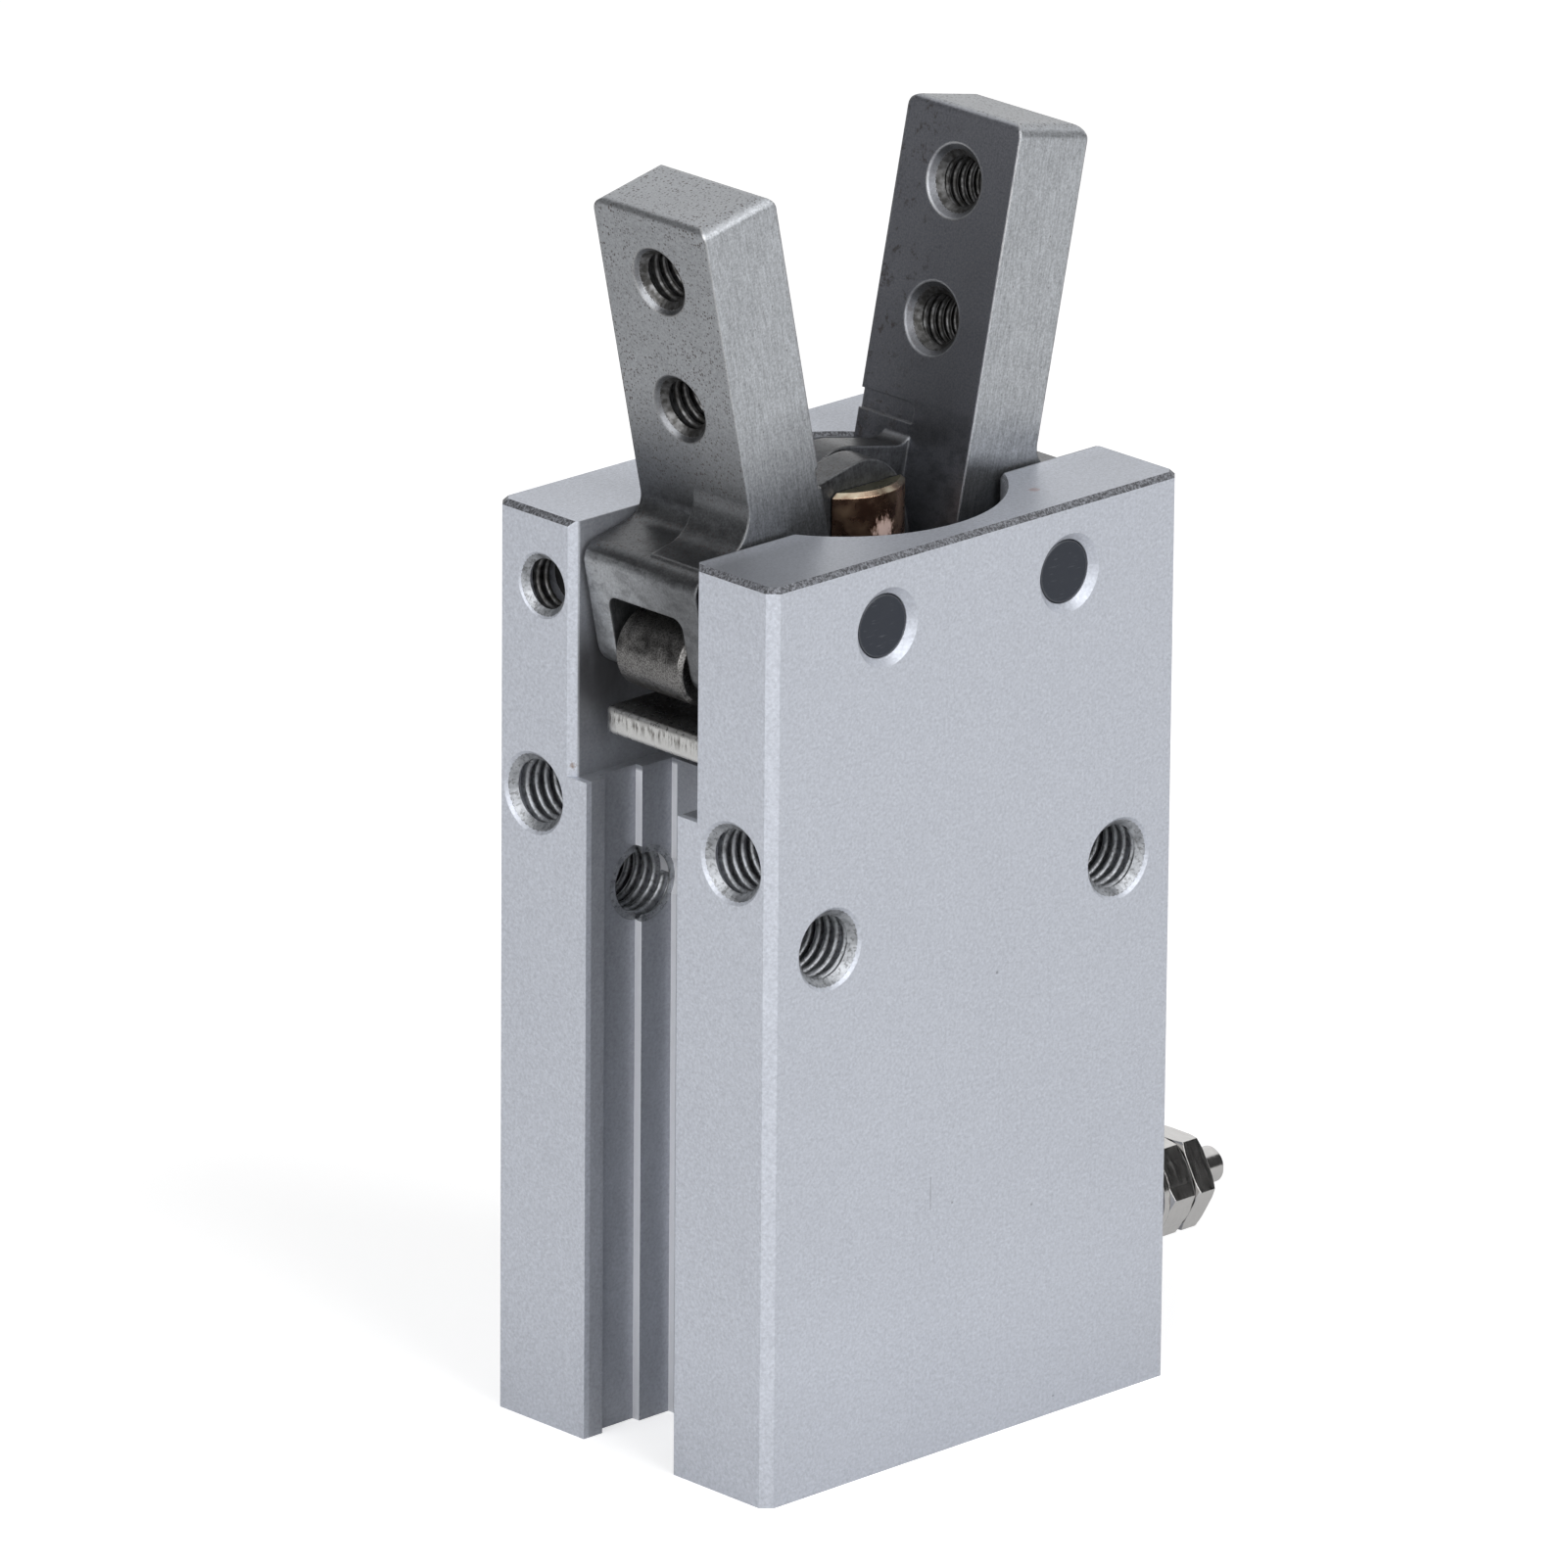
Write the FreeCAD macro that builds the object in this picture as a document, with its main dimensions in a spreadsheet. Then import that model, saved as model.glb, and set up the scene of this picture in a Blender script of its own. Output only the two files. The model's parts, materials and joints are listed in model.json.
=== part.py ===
import FreeCAD, Part
import Sketcher
import math
import os

# Two-finger angular pneumatic gripper, drawn with its fingers open.
# Origin: centre of the body's bottom face. +Z runs up the body to the fingers,
# +X is the direction in which the fingers open, the front face looks to -Y.

# Driving dimensions in millimetres and degrees.
SIZES = {
    # Body block
    "body_width": 35.5,
    "body_depth": 25.2,
    "body_height": 60.8,
    "corner_chamfer": 0.65,
    "top_chamfer": 0.35,
    # Slot for the fingers and round well under it
    "finger_slot_depth": 16.8,
    "finger_slot_clearance": 0.35,
    "slot_mouth_chamfer": 0.55,
    "well_radius": 10.35,
    "well_rim_chamfer": 0.25,
    "hub_well_clearance": 1.0,
    "hub_well_depth": 2.5,
    "partition_thickness": 4.2,
    # Side channels for position switches
    "channel_width": 8.3,
    "channel_depth": 7.35,
    "channel_recess": 0.6,
    "channel_lip": 1.6,
    "channel_recess_depth": 3.2,
    # Mounting threads and air ports
    "mount_thread": 5.0,
    "mount_chamfer": 0.22,
    "front_mount_spacing": 25.2,
    "front_mount_height": 36.15,
    "side_mount_spacing": 18.0,
    "side_mount_height": 42.1,
    "side_mount_depth": 8.0,
    "base_thread": 4.0,
    "base_mount_spacing_x": 27.2,
    "base_mount_spacing_y": 17.2,
    "base_mount_depth": 6.5,
    "port_thread": 5.0,
    "port_depth": 6.0,
    "port_inset": 3.6,
    "opening_port_rise": 0.25,
    "passage_diameter": 1.6,
    "passage_length": 8.5,
    "lock_screw_thread": 4.0,
    "lock_screw_length": 5.0,
    "lock_screw_inset": 4.3,
    "lock_screw_drop": 0.2,
    "lock_screw_chamfer": 0.15,
    # Levers that carry the fingers
    "pivot_spacing": 15.8,
    "pivot_drop": 4.6,
    "pivot_diameter": 4.2,
    "pivot_recess": 0.5,
    "pivot_clearance": 0.03,
    "open_angle": 12.0,
    "finger_width": 10.1,
    "finger_length": 27.0,
    "blade_outer": 3.2,
    "blade_inner": 2.85,
    "blade_round_radius": 1.0,
    "blade_tight_radius": 0.5,
    "blade_edge_radius": 0.9,
    "knuckle_reach": 8.65,
    "knuckle_top": 5.1,
    "knuckle_bottom": 3.8,
    "knuckle_top_radius": 1.3,
    "knuckle_bottom_radius": 2.0,
    "knuckle_heel_radius": 3.0,
    "shoulder_fillet": 1.4,
    "shoulder_fillet_large": 2.7,
    "shoulder_step": 0.15,
    "window_width": 6.7,
    "window_top": 2.0,
    "window_floor": 3.7,
    "window_radius": 0.8,
    "jaw_thread": 4.0,
    "jaw_chamfer": 0.3,
    "jaw_inner_chamfer": 0.42,
    "jaw_hole_upper": 22.3,
    "jaw_hole_lower": 13.45,
    # Inner arms of the levers, side by side at the centre
    "arm_reach": 8.0,
    "arm_top": 5.2,
    "arm_end_radius": 3.6,
    "arm_thickness": 2.25,
    "arm_gap": 0.25,
    "arm_bottom": 1.6,
    "arm_bottom_radius": 0.8,
    "arm_fillet": 1.4,
    "arm_recess": 0.25,
    "arm_recess_height": 7.9,
    "arm_recess_radius": 0.6,
    # Side rollers and centre rollers
    "side_roller_radius": 2.6,
    "side_roller_length": 6.0,
    "side_roller_offset": 6.65,
    "side_roller_drop": 2.22,
    "side_pin_diameter": 2.0,
    "centre_roller_radius": 2.6,
    "centre_roller_width": 1.0,
    "centre_roller_drop": 0.3,
    "centre_pin_diameter": 1.6,
    "fork_slot_width": 1.2,
    "fork_slot_radius": 2.95,
    "roller_clearance": 0.04,
    "roller_chamfer": 0.25,
    # Lever holder on the upper piston's rod
    "holder_length": 31.7,
    "holder_width": 9.2,
    "holder_thickness": 1.75,
    "holder_rise": 2.85,
    "holder_corner_radius": 0.6,
    "holder_edge_radius": 0.3,
    "hub_radius": 7.2,
    "hub_rise": 1.1,
    "hub_floor_thickness": 3.3,
    "hub_cup_clearance": 0.4,
    # Centre pusher on the lower piston's rod
    "pusher_radius": 4.1,
    "pusher_flat": 6.4,
    "pusher_rise": 0.62,
    "pusher_base_thickness": 3.1,
    "pusher_rim_chamfer": 0.3,
    "pusher_arm_clearance": 0.1,
    "pusher_roller_gap": 0.05,
    # Cylinder, pistons and their travel from the drawn position
    "bore_radius": 8.0,
    "piston_clearance": 0.08,
    "rod_clearance": 0.04,
    "end_gap": 0.3,
    "holder_closing_travel": 3.3,
    "holder_opening_travel": 0.6,
    "pusher_closing_travel": 2.4,
    "pusher_opening_travel": 0.45,
    "outer_rod_radius": 4.0,
    "outer_rod_tip_radius": 3.0,
    "inner_rod_radius": 2.0,
    "inner_rod_tip_radius": 1.5,
    "inner_rod_tip_length": 2.4,
    "piston_a_base": 5.25,
    "piston_b_base": 7.75,
    "cap_base": 4.5,
    "piston_a_share": 0.3,
    "piston_b_share": 0.3,
    "cap_share": 0.4,
    "piston_seal_depth": 1.6,
    "piston_seal_width": 2.2,
    "rod_seal_depth": 1.6,
    "rod_seal_width": 2.0,
    "inner_seal_depth": 1.2,
    "inner_seal_width": 1.8,
    "seal_play": 0.06,
    "magnet_depth": 2.4,
    "magnet_width": 3.0,
    "rod_seal_land": 0.7,
    "bumper_thickness": 0.9,
    "bumper_width": 2.4,
    "ring_height": 1.85,
    "cap_seal_radius": 0.68,
    "cap_seal_play": 0.06,
    "ring_thickness": 1.0,
    "ring_groove_depth": 0.7,
    "ring_groove_play": 0.05,
    "ring_width": 1.5,
    "ring_gap": 7.0,
    "ring_ear_radius": 1.25,
    "ring_ear_hole": 1.2,
    # Hose nipple in the lower port
    "nipple_hex": 6.0,
    "nipple_gasket": 0.5,
    "nipple_hex_length": 2.05,
    "nipple_neck_length": 0.2,
    "nipple_nut_length": 1.6,
    "nipple_stem_length": 3.2,
    "nipple_stem_diameter": 2.4,
    "nipple_collar_diameter": 4.0,
    "nipple_bore": 1.2,
    "nipple_thread_length": 3.5,
    "nipple_chamfer": 0.35,
    "thread_play": 0.03,
}

doc = FreeCAD.newDocument("AngularGripper")
sheet = doc.addObject("Spreadsheet::Sheet", "Size")
for row, (name, number) in enumerate(SIZES.items(), start=1):
    sheet.set("A%d" % row, name)
    sheet.set("B%d" % row, "%s" % number)
    sheet.setAlias("B%d" % row, name)
doc.recompute()


class Dim:
    """A length: the expression that gives it from the sheet, and its value now."""

    def __init__(self, text, value):
        self.text = text
        self.value = value

    def __add__(self, other):
        other = dim(other)
        return Dim("(%s + %s)" % (self.text, other.text), self.value + other.value)

    def __sub__(self, other):
        other = dim(other)
        return Dim("(%s - %s)" % (self.text, other.text), self.value - other.value)

    def __mul__(self, factor):
        factor = dim(factor)
        return Dim("(%s * %s)" % (self.text, factor.text), self.value * factor.value)

    def __truediv__(self, divisor):
        divisor = dim(divisor)
        return Dim("(%s / %s)" % (self.text, divisor.text), self.value / divisor.value)

    def __neg__(self):
        return self * -1

    def root(self):
        return Dim("sqrt(%s)" % self.text, math.sqrt(self.value))


def dim(value):
    return value if isinstance(value, Dim) else Dim("%s" % value, float(value))


def size(name):
    return Dim("Size." + name, float(sheet.get(name)))


def bind(item, path, length):
    item.setExpression(path, length.text)


# Places and sizes that several pieces share.
half_width = size("body_width") / 2
half_depth = size("body_depth") / 2
height = size("body_height")
half_finger = size("finger_width") / 2
half_slot = half_finger + size("finger_slot_clearance")
slot_floor = height - size("finger_slot_depth")
pivot_x = size("pivot_spacing") / 2
pivot_z = height - size("pivot_drop")
lock_screw_z = pivot_z - size("lock_screw_drop")
lock_screw_y = half_depth - size("lock_screw_inset")
port_y = half_depth - size("port_inset")
pivot_radius = size("pivot_diameter") / 2
arm_outer_y = size("arm_gap") + size("arm_thickness")
arm_middle_y = size("arm_gap") + size("arm_thickness") / 2

hub_well_radius = size("hub_radius") + size("hub_well_clearance")
partition_top = slot_floor - size("hub_well_depth")
bore_top = partition_top - size("partition_thickness")
bore_radius = size("bore_radius")
piston_radius = bore_radius - size("piston_clearance")

# The cylinder's length that isn't travel, gaps, bumpers or retaining ring is left to
# the two pistons and the end cap; what it has beyond their base lengths is shared.
holder_travel = size("holder_closing_travel") + size("holder_opening_travel")
pusher_travel = size("pusher_closing_travel") + size("pusher_opening_travel")
spare = holder_travel + pusher_travel + size("end_gap") * 3 + size("bumper_thickness") * 2
ring_bottom = size("ring_height")
cap_bottom = ring_bottom + size("ring_thickness")
solid_length = bore_top - cap_bottom - spare
base_length = size("piston_a_base") + size("piston_b_base") + size("cap_base")
extra_length = solid_length - base_length
piston_a_length = size("piston_a_base") + extra_length * size("piston_a_share")
piston_b_length = size("piston_b_base") + extra_length * size("piston_b_share")
cap_thickness = size("cap_base") + extra_length * size("cap_share")

upper_bumper_bottom = bore_top - size("bumper_thickness")
piston_a_top = upper_bumper_bottom - size("end_gap") - size("holder_closing_travel")
piston_a_bottom = piston_a_top - piston_a_length
pistons_gap = size("holder_opening_travel") + size("pusher_opening_travel") + size("end_gap")
piston_b_top = piston_a_bottom - pistons_gap
piston_b_bottom = piston_b_top - piston_b_length
piston_b_land = (piston_b_length - size("piston_seal_width") - size("magnet_width")) / 3
lower_bumper_top = piston_b_bottom - size("pusher_closing_travel") - size("end_gap")
cap_top = cap_bottom + cap_thickness
ring_groove_radius = bore_radius + size("ring_groove_depth")

hub_bottom = partition_top + size("hub_rise")
hub_floor = hub_bottom + size("hub_floor_thickness")
holder_bottom = slot_floor + size("holder_rise")
holder_top = holder_bottom + size("holder_thickness")
hub_cup_radius = size("pusher_radius") + size("hub_cup_clearance")

# Height of the centre rollers with the fingers at the drawn angle.
sine = Dim("sin(Size.open_angle * 1 deg)", math.sin(math.radians(SIZES["open_angle"])))
cosine = Dim("cos(Size.open_angle * 1 deg)", math.cos(math.radians(SIZES["open_angle"])))
centre_roller_z = pivot_z + size("arm_reach") * sine - size("centre_roller_drop") * cosine
pusher_floor = centre_roller_z - size("centre_roller_radius") - size("pusher_roller_gap")
pusher_bottom = pusher_floor - size("pusher_base_thickness")
pusher_top = height + size("pusher_rise")
pusher_slot = arm_outer_y + size("pusher_arm_clearance")

opening_port_z = lower_bumper_top + size("opening_port_rise")
closing_port_z = (piston_b_top + piston_a_bottom) / 2

SIDES = {"left": -1, "right": 1}


def new_body(name):
    body = doc.addObject("PartDesign::Body", name)
    body.Label = name
    return body


def new_sketch(body, role, offset=None):
    """A sketch on one of the body's own origin planes, moved along the plane's normal."""
    plane = [item for item in body.Origin.OriginFeatures if item.Role == role][0]
    sketch = body.newObject("Sketcher::SketchObject", body.Name + "_sketch")
    sketch.AttachmentSupport = [(plane, "")]
    sketch.MapMode = "FlatFace"
    if offset is not None:
        bind(sketch, "AttachmentOffset.Base.z", offset)
    return sketch


def limit(sketch, kind, reference, length):
    """Adds one constraint and ties its value to the sheet."""
    number = sketch.addConstraint(Sketcher.Constraint(kind, *reference, length.value))
    bind(sketch, "Constraints[%d]" % number, length)


def pin_point(sketch, geometry, end, x, y):
    """Fixes a point of the sketch at x, y from the sketch's origin."""
    for kind, length, axis in (("DistanceX", x, -2), ("DistanceY", y, -1)):
        if length.value == 0:
            sketch.addConstraint(Sketcher.Constraint("PointOnObject", geometry, end, axis))
        else:
            limit(sketch, kind, (-1, 1, geometry, end), length)


def add_circle(sketch, x, y, radius):
    x, y = dim(x), dim(y)
    centre = FreeCAD.Vector(x.value, y.value, 0)
    circle = sketch.addGeometry(Part.Circle(centre, FreeCAD.Vector(0, 0, 1), radius.value))
    pin_point(sketch, circle, 3, x, y)
    limit(sketch, "Radius", (circle,), radius)


def arc_through(start, end, radius, turn):
    """The short arc from start to end; turn is 1 for anticlockwise, -1 for clockwise."""
    chord = end - start
    middle = (start + end) / 2
    rise = math.sqrt(max(radius ** 2 - chord.Length ** 2 / 4, 0))
    normal = FreeCAD.Vector(-chord.y, chord.x, 0).normalize()
    centre = middle + normal * rise * turn
    first, last = (start, end) if turn > 0 else (end, start)
    angles = [math.atan2(point.y - centre.y, point.x - centre.x) for point in (first, last)]
    circle = Part.Circle(centre, FreeCAD.Vector(0, 0, 1), radius)
    return Part.ArcOfCircle(circle, angles[0], angles[1])


def add_outline(sketch, corners, flip=1):
    """
    A closed outline. Each corner is (x, y) for a straight edge that ends there, or
    (x, y, radius, turn) for an arc that ends there. flip is -1 to mirror it in X.
    """
    points = []
    for corner in corners:
        x, y = dim(corner[0]) * flip, dim(corner[1])
        points.append((x, y, FreeCAD.Vector(x.value, y.value, 0)))
    first = None
    previous = None
    for index, corner in enumerate(corners):
        start = points[index - 1][2]
        x, y, end = points[index]
        if len(corner) == 2:
            edge = sketch.addGeometry(Part.LineSegment(start, end))
            start_end, finish_end = 1, 2
        else:
            radius, turn = dim(corner[2]), corner[3] * flip
            edge = sketch.addGeometry(arc_through(start, end, radius.value, turn))
            limit(sketch, "Radius", (edge,), radius)
            start_end, finish_end = (1, 2) if turn > 0 else (2, 1)
        pin_point(sketch, edge, finish_end, x, y)
        if previous is None:
            first = (edge, start_end)
        else:
            sketch.addConstraint(Sketcher.Constraint("Coincident", *previous, edge, start_end))
        previous = (edge, finish_end)
    sketch.addConstraint(Sketcher.Constraint("Coincident", *previous, *first))


def add_rectangle(sketch, left, bottom, right, top):
    add_outline(sketch, [(left, bottom), (right, bottom), (right, top), (left, top)])


def prism(body, kind, sketch, length):
    """A Pad or Pocket that reaches the same way to both sides of its sketch."""
    feature = body.newObject("PartDesign::" + kind, body.Name + "_" + kind.lower())
    feature.Profile = sketch
    feature.SideType = "Symmetric"
    bind(feature, "Length", dim(length))
    doc.recompute()
    return feature


def turned(body, kind, sketch):
    """A Revolution or Groove about the sketch's vertical axis."""
    feature = body.newObject("PartDesign::" + kind, body.Name + "_" + kind.lower())
    feature.Profile = sketch
    feature.ReferenceAxis = (sketch, ["V_Axis"])
    feature.Angle = 360
    doc.recompute()
    return feature


def dress(body, kind, base, amount, wanted):
    """A Chamfer or Fillet on the edges of the base feature that wanted accepts."""
    names = []
    for number, edge in enumerate(base.Shape.Edges, start=1):
        if wanted(edge):
            names.append("Edge%d" % number)
    feature = body.newObject("PartDesign::" + kind, body.Name + "_" + kind.lower())
    feature.Base = (base, names)
    bind(feature, "Size" if kind == "Chamfer" else "Radius", amount)
    doc.recompute()
    return feature


def near(first, second):
    return abs(first - second) < 1e-4


def is_circle(edge, radius, axis=None, level=None):
    """Whether an edge is a full or part circle of a radius, at a level along an axis."""
    curve = edge.Curve
    if not isinstance(curve, Part.Circle) or not near(curve.Radius, radius.value):
        return False
    if axis is None:
        return True
    return near(abs(curve.Axis[axis]), 1) and near(abs(curve.Center[axis]), abs(level.value))


def hole(body, role, offset, points, diameter, length):
    """Round holes through the body, as far as length to each side of their sketch."""
    sketch = new_sketch(body, role, offset)
    for x, y in points:
        add_circle(sketch, x, y, diameter / 2)
    return prism(body, "Pocket", sketch, length)


def place(body, x, y, z, axis, angle):
    """Moves a piece from its own frame to its place; lengths and angle follow the sheet."""
    direction = FreeCAD.Vector(*axis)
    body.Placement = FreeCAD.Placement(
        FreeCAD.Vector(dim(x).value, dim(y).value, dim(z).value),
        FreeCAD.Rotation(direction, dim(angle).value),
    )
    for path, length in (("x", x), ("y", y), ("z", z)):
        bind(body, "Placement.Base." + path, dim(length))
    if isinstance(angle, Dim):
        bind(body, "Placement.Rotation.Angle", angle)


def make_block():
    """The body: finger slot, side channels, stepped bore, threads and ports."""
    body = new_body("body")
    cut = size("corner_chamfer")

    # Block with chamfered upright corners.
    sketch = new_sketch(body, "XY_Plane", height / 2)
    add_outline(sketch, [
        (-half_width + cut, -half_depth),
        (half_width - cut, -half_depth),
        (half_width, -half_depth + cut),
        (half_width, half_depth - cut),
        (half_width - cut, half_depth),
        (-half_width + cut, half_depth),
        (-half_width, half_depth - cut),
        (-half_width, -half_depth + cut),
    ])
    block = prism(body, "Pad", sketch, height)
    top_rim = dress(body, "Chamfer", block, size("top_chamfer"), lambda edge: (
        near(edge.BoundBox.ZMin, height.value) and near(edge.BoundBox.ZMax, height.value)))

    # Slot for the fingers, across the whole width, with chamfered mouths.
    sketch = new_sketch(body, "YZ_Plane")
    add_rectangle(sketch, -half_slot, slot_floor, half_slot, height * 2 - slot_floor)
    slot = prism(body, "Pocket", sketch, half_width * 4)

    def is_mouth(edge):
        box = edge.BoundBox
        upright = near(box.XLength, 0) and near(box.YLength, 0)
        return (upright and near(abs(box.XMin), half_width.value)
                and near(abs(box.YMin), half_slot.value))

    dress(body, "Chamfer", slot, size("slot_mouth_chamfer"), is_mouth)

    # Channels for position switches, one on each side, with a recess behind the lips.
    lip = half_width - size("channel_lip")
    recess_end = lip - size("channel_recess_depth")
    floor = half_width - size("channel_depth")
    half_channel = size("channel_width") / 2
    half_recess = half_channel + size("channel_recess")
    sketch = new_sketch(body, "XY_Plane", slot_floor / 2)
    for side in SIDES.values():
        add_outline(sketch, [
            (half_width * 2, -half_channel),
            (half_width * 2, half_channel),
            (lip, half_channel),
            (lip, half_recess),
            (recess_end, half_recess),
            (recess_end, half_channel),
            (floor, half_channel),
            (floor, -half_channel),
            (recess_end, -half_channel),
            (recess_end, -half_recess),
            (lip, -half_recess),
            (lip, -half_channel),
        ], flip=side)
    prism(body, "Pocket", sketch, slot_floor)

    # Stepped bore, turned about the middle: cylinder, rod hole with seal groove and wells.
    rod_hole = size("outer_rod_radius") + size("rod_clearance")
    seal_top = partition_top - size("rod_seal_land")
    seal_bottom = seal_top - size("rod_seal_width")
    seal_radius = rod_hole + size("rod_seal_depth")
    ring_groove_bottom = ring_bottom - size("ring_groove_play")
    well = size("well_radius")
    rim = size("well_rim_chamfer")
    entry = size("top_chamfer")
    sketch = new_sketch(body, "XZ_Plane")
    add_outline(sketch, [
        (0, 0),
        (bore_radius + entry, 0),
        (bore_radius, entry),
        (bore_radius, ring_groove_bottom),
        (ring_groove_radius, ring_groove_bottom),
        (ring_groove_radius, cap_bottom),
        (bore_radius, cap_bottom),
        (bore_radius, bore_top),
        (rod_hole, bore_top),
        (rod_hole, seal_bottom),
        (seal_radius, seal_bottom),
        (seal_radius, seal_top),
        (rod_hole, seal_top),
        (rod_hole, partition_top),
        (hub_well_radius, partition_top),
        (hub_well_radius, slot_floor),
        (well, slot_floor),
        (well, height - rim),
        (well + rim, height),
        (0, height),
    ])
    turned(body, "Groove", sketch)

    # Cross holes for the lever pins, with a chamfer at each face.
    pins = hole(body, "XZ_Plane", None, [(-pivot_x, pivot_z), (pivot_x, pivot_z)],
                size("pivot_diameter"), half_depth * 4)
    dress(body, "Chamfer", pins, size("pivot_recess"),
          lambda edge: is_circle(edge, pivot_radius, 1, half_depth))

    # Tapped mounting holes: through the front flanges, blind in the sides and base.
    mount = size("mount_thread")
    reach = size("front_mount_spacing") / 2
    level = size("front_mount_height")
    front = hole(body, "XZ_Plane", None, [(-reach, level), (reach, level)], mount, half_depth * 4)
    dress(body, "Chamfer", front, size("mount_chamfer"),
          lambda edge: is_circle(edge, mount / 2, 1, half_depth))

    reach = size("side_mount_spacing") / 2
    level = size("side_mount_height")
    depth = size("side_mount_depth")
    for side in SIDES.values():
        flank = hole(body, "YZ_Plane", half_width * side, [(-reach, level), (reach, level)],
                     mount, depth * 2)
    dress(body, "Chamfer", flank, size("mount_chamfer"),
          lambda edge: is_circle(edge, mount / 2, 0, half_width))

    thread = size("base_thread")
    x, y = size("base_mount_spacing_x") / 2, size("base_mount_spacing_y") / 2
    base = hole(body, "XY_Plane", None, [(-x, -y), (x, -y), (x, y), (-x, y)],
                thread, size("base_mount_depth") * 2)
    dress(body, "Chamfer", base, size("mount_chamfer"),
          lambda edge: is_circle(edge, thread / 2, 2, dim(0)))

    # Tapped holes for the screws that lock the lever pins.
    thread = size("lock_screw_thread")
    depth = half_width - pivot_x - pivot_radius / 2
    for side in SIDES.values():
        lock = hole(body, "YZ_Plane", half_width * side,
                    [(lock_screw_y, lock_screw_z)], thread, depth * 2)
    dress(body, "Chamfer", lock, size("lock_screw_chamfer"),
          lambda edge: is_circle(edge, thread / 2, 0, half_width))

    # Air ports in the right side, each with a slanted passage into the cylinder.
    port = size("port_thread")
    ports = [(-port_y, opening_port_z), (port_y, closing_port_z)]
    mouths = hole(body, "YZ_Plane", half_width, ports, port, size("port_depth") * 2)
    dress(body, "Chamfer", mouths, size("mount_chamfer"),
          lambda edge: is_circle(edge, port / 2, 0, half_width)
          and edge.Curve.Center.z < closing_port_z.value + 1)
    reach = size("passage_length") / 2
    for y, z in ports:
        toward = -1 if y.value > 0 else 1
        slant = half_width - size("port_depth") + size("passage_diameter") / 4
        sketch = new_sketch(body, "YZ_Plane", slant - reach / Dim("sqrt(2)", math.sqrt(2)))
        turn = FreeCAD.Rotation(FreeCAD.Vector(0, 1, 0), -45 * toward)
        sketch.AttachmentOffset = FreeCAD.Placement(sketch.AttachmentOffset.Base, turn)
        bind(sketch, "AttachmentOffset.Base.x", y + reach / Dim("sqrt(2)", math.sqrt(2)) * toward)
        bind(sketch, "AttachmentOffset.Base.y", z)
        add_circle(sketch, 0, 0, size("passage_diameter") / 2)
        prism(body, "Pocket", sketch, size("passage_length"))
    return body


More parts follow.
